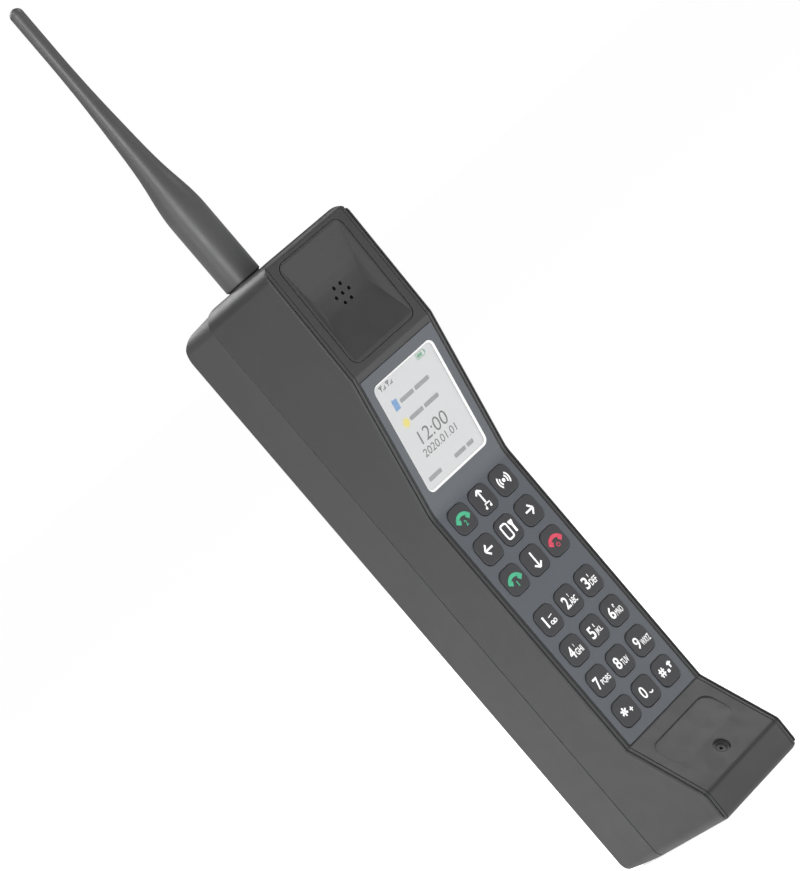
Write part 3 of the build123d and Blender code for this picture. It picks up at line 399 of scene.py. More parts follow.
# ---- the finishes of this phone -------------------------------------------------------------
# Charcoal ABS, moulded in a spark-eroded tool: even satin that catches light on its edges.
FRONT_ABS = MouldedAbs(
    "front_shell_moulded_abs", "252526", roughness=0.42, grain_mm=0.5, depth_mm=0.012, mottle=0.05
)
# The same ABS from another shot, so it is a shade lighter.
REAR_ABS = MouldedAbs(
    "rear_shell_moulded_abs", "2c2c2d", roughness=0.44, grain_mm=0.5, depth_mm=0.012, mottle=0.05
)
# ABS with a sprayed coat that fills the grain: cooler and smoother than the shells.
FASCIA_PAINT = MouldedAbs(
    "fascia_painted_abs", "43474d", roughness=0.36, grain_mm=0.8, depth_mm=0.004, mottle=0.03
)
# Key caps in moulded ABS: matt, with a soft sheen.
KEY_ABS = MouldedAbs(
    "key_moulded_abs", "262629", roughness=0.5, grain_mm=0.45, depth_mm=0.008, mottle=0.05
)
# Thermoplastic rubber moulded over the antenna: satin, with faint flow lines.
ANTENNA_RUBBER = MouldedAbs(
    "antenna_moulded_rubber", "3c3c3d", roughness=0.4, mottle=0.08, mottle_mm=20.0
)
# Nylon, moulded and dyed black: matt and even.
WASHER_NYLON = MouldedAbs("washer_black_nylon", "1c1c1c")
# Cast acrylic with a hard coat: a clean reflection, with waves too slight to see.
LENS_ACRYLIC = ClearAcrylic(
    "window_hard_coated_acrylic", "ffffff", roughness=0.02, grain_mm=6.0, depth_mm=0.0004
)
# Moulded acrylic: clear, with the tool's slight haze.
TORCH_ACRYLIC = ClearAcrylic(
    "torch_moulded_acrylic", "f4f6f8", roughness=0.08, grain_mm=1.0, depth_mm=0.02
)
# Opaque ink pad printed on the keys: flat colour, a little smoother than the plastic.
WHITE_INK, GREEN_INK, RED_INK = (
    MouldedAbs(name, colour, roughness=0.45, grain_mm=0.3, depth_mm=0.003, mottle=0.02)
    for name, colour in (
        ("legend_white_pad_print", "f4f4f4"),
        ("legend_green_pad_print", "3a9f78"),
        ("legend_red_pad_print", "c03850"),
    )
)
# White ink screen printed on the back of the window, made to glow flat and bright: partly print,
# partly a painted highlight along the window's edge.
BORDER_INK_PAINTED_HIGHLIGHT = LitRows("window_border_white_ink_painted_highlight", "fafafa", roughness=0.4)
# Liquid crystal display under glass: each colour shines evenly, with faint rows.
LIT_WHITE = LitRows("display_lit_white", "c3c4c5", roughness=0.4)
LIT_SOFT = LitRows("display_lit_soft_grey", "77797d", roughness=0.4)
LIT_GREY = LitRows("display_lit_grey", "26282b", roughness=0.4)
LIT_GREEN = LitRows("display_lit_green", "3f8a66", roughness=0.4)
LIT_BLUE = LitRows("display_lit_blue", "3f7fb8", roughness=0.4)
LIT_YELLOW = LitRows("display_lit_yellow", "d8c83c", roughness=0.4)
# Woven polyester, its threads drawn coarser than real so that they show: dull and black.
SPEAKER_CLOTH = WovenMesh("speaker_woven_polyester", "141414", roughness=0.8, depth_mm=0.05)

SLOT_FINISHES: dict[str, Finish] = {
    "front_shell_plastic": FRONT_ABS,
    "rear_shell_plastic": REAR_ABS,
    "fascia_plastic": FASCIA_PAINT,
    "key_plastic": KEY_ABS,
    "display_window": LENS_ACRYLIC,
    "torch_plastic": TORCH_ACRYLIC,
    "antenna_rubber": ANTENNA_RUBBER,
    "washer_nylon": WASHER_NYLON,
    # Open-cell foam, cut from sheet: matt and pitted.
    "foam": Finish(
        "gasket_open_cell_foam", "202020", roughness=0.9, grain_mm=0.4, depth_mm=0.12, mottle=0.2
    ),
    # Glass module wrapped in black tape: smooth, dark and glossy.
    "display_module": Finish(
        "display_module_taped_glass", "26282b", roughness=0.3, grain_mm=2.0, depth_mm=0.004
    ),
    # Tinplate, rolled and pressed: bright grey with faint rolling lines.
    "pressed_steel": Metal(
        "pressed_tinplate", "c3c3c5", roughness=0.32, grain_mm=0.4, depth_mm=0.006
    ),
    # Polyimide film over copper: amber and glossy.
    "flexible_circuit": Finish(
        "flexible_polyimide_film", "b5772a", roughness=0.25, grain_mm=1.5, depth_mm=0.004
    ),
    # Silicone rubber, pressed in a mould: dull and soft looking.
    "silicone": Finish(
        "keypad_silicone_rubber", "8b8c8f", roughness=0.6, grain_mm=0.5, depth_mm=0.006
    ),
    # Glass-fibre board with a flowed solder mask: green, glossy, uneven over the tracks.
    "circuit_board": Finish(
        "board_green_solder_mask", "1d5c37", roughness=0.3, grain_mm=1.2, mottle=0.25, mottle_mm=3.0
    ),
    # Steel, rolled thread and zinc plated: bluish grey with a dull shine.
    "screw_steel": Metal(
        "screw_zinc_plated_steel", "8f9092", roughness=0.35, grain_mm=0.3, depth_mm=0.006
    ),
    # Filled epoxy, transfer moulded: matt black.
    "black_epoxy": Finish("chip_moulded_epoxy", "1b1b1c", roughness=0.6, grain_mm=0.3),
    # Glass-filled plastic, moulded: matt, a touch lighter than the chips.
    "speaker_frame": Finish("speaker_moulded_frame", "222223", roughness=0.55, grain_mm=0.5),
    # PVC drawn over wire: smooth red with a soft shine.
    "lead_insulation": Finish("lead_pvc_insulation", "a32b22", roughness=0.4, depth_mm=0.004),
    # Printed film, heat shrunk round the cell: taut, with slight ripples.
    "battery_wrap": Finish(
        "battery_printed_film", "5f6872", roughness=0.35, grain_mm=1.5, depth_mm=0.006
    ),
    # Copper alloy, stamped and gold flashed: warm and bright.
    "gold_contacts": Metal(
        "contacts_gold_flashed", "d8a84e", roughness=0.25, grain_mm=0.3, depth_mm=0.004
    ),
    # Brass, turned on a lathe: yellow, with fine rings round its axis.
    "brass": Metal(
        "turned_brass", "c99f4f", roughness=0.28, grain_mm=0.3, depth_mm=0.006,
        stretch=(1.0, 1.0, 4.0),
    ),
    # Epoxy cast round the lamp: pale and glossy.
    "lamp_resin": Finish(
        "lamp_clear_epoxy", "e9e6d2", roughness=0.1, grain_mm=1.0, depth_mm=0.002
    ),
}


# ---- flat art: legends and display picture --------------------------------------------------
class FlatArt:
    """Flat shapes drawn in millimetres on a plane, then raised to the thickness of a film.

    Attributes:
        mesh: the shapes.
        level: how far the last shape lies above the plane, in millimetres.
    """

    STEP = 0.0012
    DISC_SIDES = 28
    CORNER_SIDES = 8
    ARC_SIDE_DEGREES = 9

    def __init__(self) -> None:
        """Starts with nothing drawn."""
        self.mesh = bmesh.new()
        self.level = 0.0

    def next_level(self) -> float:
        """Raises each shape by a hair over the last, so crossing shapes don't share a face.

        Returns:
            The new shape's level, in millimetres.
        """
        self.level += self.STEP
        return self.level

    def bar(self, start: Point, end: Point, width: float) -> None:
        """Draws a straight stroke.

        Args:
            start: where it starts.
            end: where it ends.
            width: how wide it is.
        """
        run = Vector(end) - Vector(start)
        middle = (Vector(start) + Vector(end)) / 2
        place = (
            Matrix.Translation((middle.x, middle.y, self.next_level()))
            @ Matrix.Rotation(math.atan2(run.y, run.x), 4, "Z")
            @ Matrix.Diagonal((run.length, width, 1, 1))
        )
        bmesh.ops.create_grid(self.mesh, x_segments=1, y_segments=1, size=0.5, matrix=place)

    def disc(self, centre: Point, radius: float) -> None:
        """Draws a filled circle.

        Args:
            centre: its middle.
            radius: its radius.
        """
        place = Matrix.Translation((*centre, self.next_level()))
        bmesh.ops.create_circle(
            self.mesh, cap_ends=True, segments=self.DISC_SIDES, radius=radius, matrix=place
        )

    def arc(self, centre: Point, radius: float, width: float, start: float, turn: float) -> None:
        """Draws a curved stroke.

        Args:
            centre: the middle of its circle.
            radius: from the centre to the middle of the stroke.
            width: how wide it is.
            start: the angle where it starts, in degrees.
            turn: how far it goes round, in degrees.
        """
        ends, level = [], self.next_level()
        for reach in (radius - width / 2, radius + width / 2):
            spot = Vector(centre) + around(start) * reach
            ends.append(self.mesh.verts.new((*spot, level)))
        edge = self.mesh.edges.new(ends)
        steps = max(6, round(abs(turn) / self.ARC_SIDE_DEGREES))
        bmesh.ops.spin(
            self.mesh, geom=[*ends, edge], cent=(*centre, level), axis=(0, 0, 1),
            angle=math.radians(turn), steps=steps, use_merge=abs(turn) >= 360,
        )

    def panel(self, centre: Point, size: Point, radius: float, rim: float = 0.0) -> None:
        """Draws a rounded rectangle, filled or only its rim.

        Args:
            centre: its middle.
            size: its width and height.
            radius: of its corners.
            rim: how wide the rim is, or 0 for a filled one.
        """
        place = Matrix.Translation((*centre, self.next_level())) @ Matrix.Diagonal((*size, 1, 1))
        made = bmesh.ops.create_grid(self.mesh, x_segments=1, y_segments=1, size=0.5, matrix=place)
        corners = made["verts"]
        if radius > 0:
            corners = bmesh.ops.bevel(
                self.mesh, geom=corners, offset=radius, segments=self.CORNER_SIDES, profile=0.5,
                affect="VERTICES", offset_type="OFFSET", material=-1,
            )["verts"]
        face = corners[0].link_faces[0]
        if rim > 0:
            bmesh.ops.inset_individual(
                self.mesh, faces=[face], thickness=rim, use_even_offset=True
            )
            bmesh.ops.delete(self.mesh, geom=[face], context="FACES_ONLY")

    def text(self, words: str, centre: Point, size: Point, weight: float) -> None:
        """Draws figures or letters to fill a box.

        Args:
            words: what is drawn.
            centre: the middle of the box.
            size: the width and height of the box.
            weight: how far the strokes are grown, as a share of the letters' size.
        """
        curve = bpy.data.curves.new("legend_text", "FONT")
        curve.body = words
        curve.offset = weight
        holder = bpy.data.objects.new("legend_text", curve)
        bpy.context.scene.collection.objects.link(holder)
        bpy.context.view_layer.update()
        shown = holder.evaluated_get(bpy.context.evaluated_depsgraph_get())
        flat = bpy.data.meshes.new_from_object(shown)
        lows = [min(v.co[i] for v in flat.vertices) for i in (0, 1)]
        highs = [max(v.co[i] for v in flat.vertices) for i in (0, 1)]
        across = size[0] / (highs[0] - lows[0])
        up = size[1] / (highs[1] - lows[1])
        flat.transform(
            Matrix.Translation((*centre, self.next_level()))
            @ Matrix.Diagonal((across, up, 1, 1))
            @ Matrix.Translation((-(lows[0] + highs[0]) / 2, -(lows[1] + highs[1]) / 2, 0))
        )
        self.mesh.from_mesh(flat)
        bpy.data.objects.remove(holder)
        bpy.data.curves.remove(curve)
        bpy.data.meshes.remove(flat)

    def piece(
        self, name: str, finish: Finish, place: Matrix, thickness: float
    ) -> bpy.types.Object:
        """Raises the drawing and makes it a piece.

        Args:
            name: the piece's name.
            finish: what it is made of.
            place: turns the drawing's millimetres into its place on the phone.
            thickness: how high it is raised, in millimetres.

        Returns:
            The new object, at the origin with its place in its mesh.
        """
        bmesh.ops.remove_doubles(self.mesh, verts=self.mesh.verts, dist=0.0005)
        bmesh.ops.recalc_face_normals(self.mesh, faces=self.mesh.faces)
        for face in self.mesh.faces:
            if face.normal.z < 0:
                face.normal_flip()
        raised = bmesh.ops.extrude_face_region(
            self.mesh, geom=self.mesh.faces[:], use_keep_orig=True
        )
        lifted = [v for v in raised["geom"] if isinstance(v, bmesh.types.BMVert)]
        bmesh.ops.translate(self.mesh, verts=lifted, vec=(0, 0, thickness))
        bmesh.ops.recalc_face_normals(self.mesh, faces=self.mesh.faces)
        self.mesh.transform(place)
        return finished(self.mesh, name, finish)


def finished(mesh: bmesh.types.BMesh, name: str, finish: Finish) -> bpy.types.Object:
    """Makes an object of a finished bmesh.

    Args:
        mesh: the shape, already in its place in metres.
        name: the piece's name.
        finish: what it is made of.

    Returns:
        The new object.
    """
    data = bpy.data.meshes.new(name)
    mesh.to_mesh(data)
    mesh.free()
    for face in data.polygons:
        face.use_smooth = False
    data.materials.append(finish.material())
    piece = bpy.data.objects.new(name, data)
    bpy.context.scene.collection.objects.link(piece)
    LOG.info("made %s: %d faces", name, len(data.polygons))
    return piece


def face_plane(origin: Vector, up: Vector, out: Vector) -> Matrix:
    """Finds the place of a drawing on a face of the phone.

    Args:
        origin: the drawing's middle, in metres.
        up: which way its top points.
        out: which way the face looks.

    Returns:
        A matrix from the drawing's millimetres to metres on the phone.
    """
    across = up.cross(out).normalized()
    turned = Matrix((across, up.normalized(), out.normalized())).transposed().to_4x4()
    return Matrix.Translation(origin) @ turned @ Matrix.Diagonal((MM, MM, MM, 1))


# ---- casing ---------------------------------------------------------------------------------
@dataclass
class Casing:
    """Shells, fascia and everything else whose CAD shape is right as it is.

    Attributes:
        cloth_thickness: of the cloth over a sound opening, in metres.
        cloth_setback: how far the middle of the cloth lies inside its ring's face, in metres.
        cloth_edge: the gap left round the cloth, in metres.
        earpiece_rim: the width of the earpiece's ring, in metres.
        loudspeaker_rim: the width of the loudspeaker's frame, in metres.
    """

    cloth_thickness: float = 0.15 * MM
    cloth_setback: float = 0.25 * MM
    cloth_edge: float = 0.2 * MM
    earpiece_rim: float = 1.5 * MM
    loudspeaker_rim: float = 2.0 * MM

    def dress_nodes(self) -> None:
        """Gives every CAD node the finish of its slot."""
        slots = {part["node"]: part["material_slot"] for part in frame["record"]["subparts"]}
        for name, node in frame["nodes"].items():
            node.data.materials.clear()
            node.data.materials.append(SLOT_FINISHES[slots[name]].material())
            LOG.info("dressed %s as %s", name, SLOT_FINISHES[slots[name]].name)

    def cloth(self, name: str, ring: str, edge: float, front: bool) -> None:
        """Makes the cloth disc over a sound opening.

        Args:
            name: the piece's name.
            ring: the round node that it lies in.
            edge: how far it stays inside that node's rim.
            front: whether it lies at the node's front or at its back.
        """
        low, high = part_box(ring)
        middle = (low + high) / 2
        radius = (high.x - low.x) / 2 - edge - self.cloth_edge
        y = low.y + self.cloth_setback if front else high.y - self.cloth_setback
        disc = bmesh.new()
        turned = Matrix.Translation((middle.x, y, middle.z)) @ Matrix.Rotation(math.pi / 2, 4, "X")
        bmesh.ops.create_cone(
            disc, cap_ends=True, segments=64, radius1=radius, radius2=radius,
            depth=self.cloth_thickness, matrix=turned,
        )
        piece = finished(disc, name, SPEAKER_CLOTH)
        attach(piece, "root")

    def build(self) -> None:
        """Dresses the CAD nodes and adds the cloth discs."""
        self.dress_nodes()
        self.cloth("earpiece_cloth", "earpiece_gasket", self.earpiece_rim, True)
        self.cloth("loudspeaker_cloth", "loudspeaker", self.loudspeaker_rim, False)


# ---- display --------------------------------------------------------------------------------
@dataclass
class Display:
    """The lit picture behind the window, and the white border printed on the window's back, which
    glows as a painted highlight along the window's edge.

    All sizes are in millimetres.

    Attributes:
        lens_height, lens_width, lens_thickness, lens_radius: of the window.
        border: how wide the printed border is, which glows as a painted highlight.
        border_depth, picture_depth: how far each lies below the window's face.
        picture_film: how thick each drawing is.
        picture_overlap: how far the lit panel is wider and taller than the window.
        mark_gap: how far the marks stand above the lit panel.
        top_row: how far the signs along the top are above the middle.
        stroke: how wide the signal sign's lines are.
        line_height: how tall a line of writing is.
        word_gap, word_radius: the gap between two blocks, and their corners.
    """

    lens_height: float = 35.0
    lens_width: float = 28.0
    lens_thickness: float = 1.0
    lens_radius: float = 2.2
    border: float = 0.55
    border_depth: float = 0.98
    picture_depth: float = 1.44
    picture_film: float = 0.02
    picture_overlap: float = 0.4
    mark_gap: float = 0.03
    top_row: float = 15.4
    stroke: float = 0.28
    line_height: float = 1.3
    word_gap: float = 0.7
    word_radius: float = 0.35

    def plane(self, depth: float) -> Matrix:
        """Finds the window's slope from its box, and a drawing's place on it.

        A tilted plate's box is as deep and as tall as its height and thickness, each turned by the
        tilt, so the tilt follows from the box.

        Args:
            depth: how far the drawing lies below the window's face, in millimetres.

        Returns:
            A matrix from the drawing's millimetres to metres on the phone.
        """
        low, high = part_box("display_lens")
        tall, thick = self.lens_height * MM, self.lens_thickness * MM
        size_y, size_z = high.y - low.y, high.z - low.z
        square = tall * tall - thick * thick
        rise = (tall * size_y - thick * size_z) / square
        run = (tall * size_z - thick * size_y) / square
        out = Vector((0, -run, -rise)).normalized()
        up = Vector((0, -rise, run)).normalized()
        middle_y = (low.y + high.y - thick * run) / 2
        middle_z = (low.z + high.z - thick * rise) / 2
        origin = Vector(((low.x + high.x) / 2, middle_y, middle_z)) - out * depth * MM
        return face_plane(origin, up, out)

    def show(self, art: FlatArt, name: str, finish: Finish, depth: float) -> None:
        """Makes a drawing a piece of the display.

        Args:
            art: the drawing, about the window's middle.
            name: the piece's name.
            finish: what it is made of.
            depth: how far it lies below the window's face, in millimetres.
        """
        piece = art.piece(name, finish, self.plane(depth), self.picture_film)
        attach(piece, "root")

    def signal(self, art: FlatArt, left: float) -> None:
        """Draws one aerial with three bars of signal.

        Args:
            art: what it is drawn in.
            left: where it starts.
        """
        mast, right = left + 0.7, left + 1.4
        top, fork, foot = self.top_row + 0.75, self.top_row - 0.1, self.top_row - 0.85
        art.bar((mast, self.top_row - 0.8), (mast, self.top_row + 0.7), self.stroke)
        art.bar((mast, fork), (left, top), self.stroke)
        art.bar((mast, fork), (right, top), self.stroke)
        art.bar((left, top), (right, top), self.stroke * 0.8)
        for n, tall in enumerate((0.4, 0.7, 1.1)):
            x = left + 1.65 + 0.42 * n
            art.bar((x, foot), (x, foot + tall), self.stroke)

    def writing(self, art: FlatArt, left: float, y: float, lengths: Sequence[float]) -> None:
        """Draws a line of writing as plain blocks, one for each word.

        Args:
            art: what it is drawn in.
            left: where it starts.
            y: the middle of the line.
            lengths: how long each block is.
        """
        for length in lengths:
            art.panel((left + length / 2, y), (length, self.line_height), self.word_radius)
            left += length + self.word_gap

    def writings(self) -> FlatArt:
        """Draws the two lines of names and the two labels at the foot.

        Returns:
            The drawing.
        """
        words = FlatArt()
        lines = (
            (-6.4, 8.9, (6.2, 6.6)),
            (-6.4, 3.1, (6.2, 6.6)),
            (-11.2, -14.2, (5.8,)),
            (1.2, -14.2, (5.2, 3.0)),
        )
        for left, y, lengths in lines:
            self.writing(words, left, y, lengths)
        return words

    def battery(self) -> FlatArt:
        """Draws a battery on its side, partly full.

        Returns:
            The drawing.
        """
        art = FlatArt()
        art.panel((8.3, self.top_row), (3.8, 1.9), 0.3, 0.2)
        art.bar((10.2, self.top_row), (10.6, self.top_row), 0.9)
        art.bar((6.9, self.top_row), (9.1, self.top_row), 1.0)
        return art

    def card(self) -> FlatArt:
        """Draws a card with one contact.

        Returns:
            The drawing.
        """
        art = FlatArt()
        art.panel((-8.4, 9.0), (2.2, 3.3), 0.3)
        art.bar((-9.1, 9.0), (-9.1, 10.9), 0.4)
        return art

    def sun(self) -> FlatArt:
        """Draws a sun with eight short rays.

        Returns:
            The drawing.
        """
        art = FlatArt()
        centre, inner, outer = Vector((-8.25, 3.0)), 1.2, 1.7
        art.disc(tuple(centre), inner)
        for turn in range(0, 360, 45):
            ray = around(turn)
            art.bar(tuple(centre + ray * inner), tuple(centre + ray * outer), 0.3)
        return art

    def picture(self) -> None:
        """Draws the lit panel and what it shows."""
        panel = FlatArt()
        size = (self.lens_width + self.picture_overlap, self.lens_height + self.picture_overlap)
        panel.panel((0, 0), size, self.lens_radius)
        self.show(panel, "display_panel", LIT_WHITE, self.picture_depth)
        grey = FlatArt()
        for left in (-11.2, -8.0):
            self.signal(grey, left)
        grey.text("12:00", (-0.5, -3.1), (12.7, 4.1), weight=-0.004)
        grey.text("2020.01.01", (-0.6, -7.5), (15.2, 2.4), weight=0.0)
        marks = self.picture_depth - self.mark_gap
        self.show(grey, "display_marks", LIT_GREY, marks)
        self.show(self.writings(), "display_words", LIT_SOFT, marks)
        self.show(self.battery(), "display_battery_mark", LIT_GREEN, marks)
        self.show(self.card(), "display_card_mark", LIT_BLUE, marks)
        self.show(self.sun(), "display_sun_mark", LIT_YELLOW, marks)

    def build(self) -> None:
        """Makes the picture and the window's printed border, which glows as a painted highlight."""
        self.picture()
        border = FlatArt()
        border.panel((0, 0), (self.lens_width, self.lens_height), self.lens_radius, self.border)
        # The border glows: white ink standing partly for a painted highlight on the window's edge.
        self.show(border, "window_border", BORDER_INK_PAINTED_HIGHLIGHT, self.border_depth)


# ---- keys -----------------------------------------------------------------------------------
class Arrow(Enum):
    """Ways that a menu key points, in degrees from the right."""

    RIGHT = 0
    UP = 90
    LEFT = 180
    DOWN = 270


@dataclass
class Keypad:
    """Printed legends of the 21 keys.

    All sizes are in millimetres, and places are from the middle of a key.

    Attributes:
        film: how thick the ink is.
        line: how wide the arrows' lines are.
        weight: how far strokes of figures and letters are grown, as a share of their size.
        digit_size, digit_spot: of the large figure.
        one_width: how wide the figure 1 is, as a share of the others.
        letter_height, letter_width: of one small letter.
        letter_spot: the middle of a group of three letters.
        mark_spot, mark_height: of the punctuation.
    """

    film: float = 0.03
    line: float = 0.62
    weight: float = 0.018
    digit_size: Point = (2.0, 3.7)
    digit_spot: Point = (-1.6, 0.0)
    one_width: float = 0.35
    letter_height: float = 2.0
    letter_width: float = 0.98
    letter_spot: Point = (1.2, -0.85)
    mark_spot: Point = (0.6, 1.25)
    mark_height: float = 1.1

    def print_on(self, art: FlatArt, key: str, name: str, finish: Finish) -> None:
        """Puts a drawing on the front of a key.

        Args:
            art: the drawing, about the key's middle.
            key: the key's node and body.
            name: the piece's name.
            finish: its ink.
        """
        low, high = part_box(key)
        origin = Vector(((low.x + high.x) / 2, low.y, (low.z + high.z) / 2))
        place = face_plane(origin, UPRIGHT, FORWARD)
        piece = art.piece(name, finish, place, self.film)
        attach(piece, key)

    def arrow(
        self, art: FlatArt, way: Arrow, centre: Point, length: float, spread: float
    ) -> None:
        """Draws an arrow.

        Args:
            art: what it is drawn in.
            way: where it points.
            centre: its middle.
            length: from its tail to its tip.
            spread: from its middle line to the end of each wing.
        """
        along = around(way.value)
        side = Vector((-along.y, along.x))
        middle = Vector(centre)
        tip = middle + along * length / 2
        art.bar(tuple(middle - along * length / 2), tuple(tip - along * 0.3), self.line)
        for sign in (-1, 1):
            wing = tip + (side * sign - along * 0.9) * spread
            art.bar(tuple(wing), tuple(tip), self.line)

    def handset(self, art: FlatArt) -> None:
        """Draws a telephone receiver lying on its ends.

        Args:
            art: what it is drawn in.
        """
        centre = Vector((0, -1.7))
        art.arc(tuple(centre), 2.95, 1.15, 38, 104)
        for turn in (36, 144):
            end = around(turn)
            art.bar(tuple(centre + end * 1.75), tuple(centre + end * 3.5), 1.45)

    def number_key(self, key: str, digit: str, letters: str, mark: str) -> None:
        """Prints a digit with its group of small letters.

        Args:
            key: the key's node.
            digit: the large figure.
            letters: the small letters beside it.
            mark: the punctuation above them.
        """
        art = FlatArt()
        width = self.digit_size[0] * (self.one_width if digit == "1" else 1.0)
        art.text(digit, self.digit_spot, (width, self.digit_size[1]), weight=self.weight)
        if letters:
            reach = self.letter_width * len(letters)
            longer = reach - self.letter_width * 3
            spot = (self.letter_spot[0] + longer / 2, self.letter_spot[1])
            art.text(letters, spot, (reach, self.letter_height), weight=self.weight)
            if mark:
                size = (0.8 if mark == "?" else 0.3, self.mark_height)
                art.text(mark, self.mark_spot, size, weight=self.weight)
        else:
            # Two reels of tape, for messages, below a dash.
            for x in (0.35, 1.65):
                art.arc((x, -1.3), 0.5, 0.3, 0, 360)
            art.bar((0.35, -1.8), (1.65, -1.8), 0.3)
            art.bar((0.2, 0.5), (1.9, 0.75), 0.3)
        self.print_on(art, key, f"legend_{key}", WHITE_INK)

    def call_key(self, key: str, digit: str, ink: Finish) -> None:
        """Prints a receiver, with a small figure or the sign for power below it.

        Args:
            key: the key's node.
            digit: the small figure, or nothing for the sign for power.
            ink: its finish.
        """
        art = FlatArt()
        self.handset(art)
        if digit:
            size = (0.4 if digit == "1" else 1.05, 1.7)
            art.text(digit, (0, -1.5), size, weight=self.weight)
        else:
            art.arc((0, -1.4), 0.6, 0.28, 120, 300)
            art.bar((0, -1.3), (0, -0.5), 0.28)
        self.print_on(art, key, f"legend_{key}", ink)

    def menu_keys(self) -> None:
        """Prints the arrows, the middle key and the radio key."""
        arrows = {
            "key_left": (Arrow.LEFT, 3.4, 1.6),
            "key_right": (Arrow.RIGHT, 3.4, 1.6),
            "key_down": (Arrow.DOWN, 5.2, 1.5),
        }
        for key, (way, length, spread) in arrows.items():
            art = FlatArt()
            self.arrow(art, way, (0, 0), length, spread)
            self.print_on(art, key, f"legend_{key}", WHITE_INK)
        self.music_key()
        self.middle_key()
        radio = FlatArt()
        radio.disc((0, 0), 0.6)
        for reach in (1.4, 2.3):
            for start in (-45, 135):
                radio.arc((0, 0), reach, self.line * 0.85, start, 90)
        self.print_on(radio, "key_radio", "legend_key_radio", WHITE_INK)

    def music_key(self) -> None:
        """Prints an arrow up, over a pair of joined notes."""
        up = FlatArt()
        self.arrow(up, Arrow.UP, (0, 1.0), 4.2, 1.3)
        for x in (-1.1, 0.9):
            up.disc((x, -2.6), 0.42)
            up.bar((x + 0.3, -2.6), (x + 0.3, -1.4), 0.26)
        up.bar((-0.93, -1.45), (1.33, -1.45), 0.4)
        self.print_on(up, "key_up", "legend_key_up", WHITE_INK)

    def middle_key(self) -> None:
        """Prints a frame beside a torch."""
        middle = FlatArt()
        middle.panel((-1.0, 0), (3.1, 5.1), 1.0, 0.6)
        middle.bar((1.1, 1.6), (2.9, 1.6), 0.7)
        middle.bar((1.3, 0.95), (2.7, 0.95), 0.5)
        middle.bar((2.0, 0.7), (2.0, -1.9), 0.85)
        self.print_on(middle, "key_ok", "legend_key_ok", WHITE_INK)

    def foot_keys(self) -> None:
        """Prints the star, zero and hash keys."""
        star = FlatArt()
        middle = Vector((-1.0, 0.2))
        for turn in (90, 30, 150):
            reach = around(turn) * 1.35
            star.bar(tuple(middle - reach), tuple(middle + reach), 0.6)
        star.bar((1.0, -0.5), (2.4, -0.5), 0.42)
        star.bar((1.7, -1.2), (1.7, 0.2), 0.42)
        self.print_on(star, "key_star", "legend_key_star", WHITE_INK)
        zero = FlatArt()
        zero.text("0", (-1.4, 0.2), self.digit_size, weight=0.012)
        zero.arc((1.2, -0.7), 0.75, 0.4, 200, 140)
        self.print_on(zero, "key_0", "legend_key_0", WHITE_INK)
        mark = FlatArt()
        for shift in (-0.5, 0.5):
            mark.bar((-1.6 + shift, -1.2), (-1.4 + shift, 1.6), 0.5)
            mark.bar((-2.7, 0.2 + shift), (-0.3, 0.2 + shift), 0.5)
        mark.panel((0.8, -0.7), (1.0, 1.0), 0.2)
        self.arrow(mark, Arrow.UP, (2.3, 0.5), 1.9, 0.75)
        self.print_on(mark, "key_hash", "legend_key_hash", WHITE_INK)

    def build(self) -> None:
        """Prints every key."""
        groups = ("", "ABC", "DEF", "GHI", "JKL", "MNO", "PQRS", "TUV", "WXYZ")
        marks = ("", "!", "'", ",", "-", "?", "", "", "")
        for n, (letters, mark) in enumerate(zip(groups, marks), start=1):
            self.number_key(f"key_{n}", str(n), letters, mark)
        self.menu_keys()
        self.foot_keys()
        self.call_key("key_call_one", "2", GREEN_INK)
        self.call_key("key_call_two", "1", GREEN_INK)
        self.call_key("key_end", "", RED_INK)


# ---- studio ---------------------------------------------------------------------------------
@dataclass(frozen=True)
class Softbox:
    """A soft rectangular light.

    Attributes:
        name: the light's name.
        place: where it stands, in metres.
        size: its width and height, in metres.
        power: in watts.
    """

    name: str
    place: Spot
    size: Point
    power: float


# Two broad lights for the left side and the crown, and a weaker one for the right of the face.
# The strip draws a line of light down the side's edges, and the last lights the back edges.
SOFTBOXES = (
    Softbox("left_front_light", (-0.95, -0.6, 0.42), (0.5, 0.6), 7.5),
    Softbox("overhead_light", (-0.6, -0.2, 1.25), (0.6, 0.8), 7.0),
    Softbox("high_right_light", (0.68, -0.42, 0.8), (0.6, 0.6), 3.6),
    Softbox("strip_light", (-0.9, 0.15, 0.4), (0.1, 1.0), 1.6),
    Softbox("rim_light", (0.0, 0.95, 1.15), (0.9, 0.5), 9.0),
)
# White paper, dull and even.
FLOOR_PAPER = Finish("floor_white_paper", "fbfbfb", roughness=0.9, grain_mm=2.0, mottle=0.0)


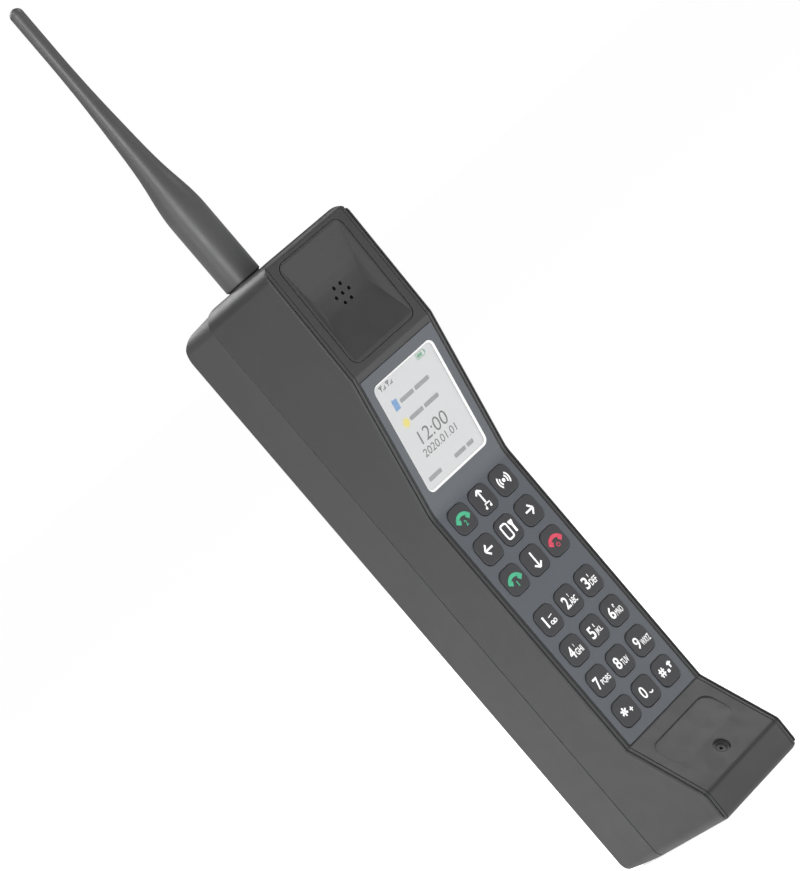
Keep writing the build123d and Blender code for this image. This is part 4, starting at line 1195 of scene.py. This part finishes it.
@dataclass
class Studio:
    """White floor, soft light and the camera.

    Attributes:
        camera_place: where the camera stands, in metres.
        azimuth, elevation, roll: how it is turned, in degrees.
        lens_mm, sensor_mm: its focal length and the width of its sensor.
        clip: the nearest and farthest distances that it sees, in metres.
        sky: how strongly the white surroundings light the phone.
        floor_glow: how strongly the floor shines, so that it stays plain white.
        floor_size: the length of its sides, in metres.
    """

    camera_place: Spot = (-0.7802, -0.9890, 0.1902)
    azimuth: float = -38.3
    elevation: float = 2.34
    roll: float = -40.47
    lens_mm: float = 184.6
    sensor_mm: float = 36.0
    clip: Point = (0.05, 200.0)
    sky: float = 0.3
    floor_glow: float = 0.7
    floor_size: float = 60.0

    def camera(self) -> None:
        """Places the camera."""
        data = bpy.data.cameras.new("studio_camera")
        data.lens = self.lens_mm
        data.sensor_width = self.sensor_mm
        data.clip_start, data.clip_end = self.clip
        camera = bpy.data.objects.new("studio_camera", data)
        bpy.context.scene.collection.objects.link(camera)
        turn, tilt = math.radians(self.azimuth), math.radians(self.elevation)
        flat = math.cos(tilt)
        back = Vector((math.sin(turn) * flat, -math.cos(turn) * flat, math.sin(tilt)))
        level = back.to_track_quat("Z", "Y").to_matrix().to_4x4()
        rolled = Matrix.Rotation(math.radians(self.roll), 4, "Z")
        camera.matrix_world = Matrix.Translation(self.camera_place) @ level @ rolled
        bpy.context.scene.camera = camera

    def light(self, box: Softbox) -> None:
        """Adds a light aimed at the middle of the phone.

        Args:
            box: what it is and where it stands.
        """
        data = bpy.data.lights.new(box.name, "AREA")
        data.shape = "RECTANGLE"
        data.size, data.size_y = box.size
        data.energy = box.power
        lamp = bpy.data.objects.new(box.name, data)
        bpy.context.scene.collection.objects.link(lamp)
        aim = (CAD_BOX[0] + CAD_BOX[1]) / 2
        spot = Vector(box.place)
        turned = (spot - aim).to_track_quat("Z", "Y").to_matrix().to_4x4()
        lamp.matrix_world = Matrix.Translation(spot) @ turned

    def floor(self) -> None:
        """Lays the white floor."""
        sheet = bmesh.new()
        bmesh.ops.create_grid(sheet, x_segments=1, y_segments=1, size=self.floor_size / 2)
        ground = finished(sheet, "studio_floor", FLOOR_PAPER)
        shader = ground.active_material.node_tree.nodes["Principled BSDF"]
        shader.inputs["Emission Color"].default_value = WHITE
        shader.inputs["Emission Strength"].default_value = self.floor_glow

    def world(self) -> None:
        """Sets white surroundings that look bright and light the phone only a little."""
        world = bpy.data.worlds.new("white_studio")
        world.use_nodes = True
        tree = world.node_tree
        seen = add(tree, "ShaderNodeLightPath", {}).outputs["Is Camera Ray"]
        inputs = {"Value": seen, "To Min": self.sky, "To Max": 1.0}
        strength = add(tree, "ShaderNodeMapRange", inputs).outputs["Result"]
        background = tree.nodes["Background"]
        background.inputs["Color"].default_value = WHITE
        tree.links.new(strength, background.inputs["Strength"])
        bpy.context.scene.world = world
        bpy.context.scene.view_settings.view_transform = "Standard"

    def build(self) -> None:
        """Sets up the whole studio."""
        self.camera()
        self.world()
        self.floor()
        for box in SOFTBOXES:
            self.light(box)


def main() -> None:
    """Builds the phone's looks in order."""
    logging.basicConfig(level=logging.INFO)
    for assembly in (Casing(), Display(), Keypad(), Studio()):
        assembly.build()
        LOG.info("built %s", type(assembly).__name__)


if __name__ == "__main__":
    main()
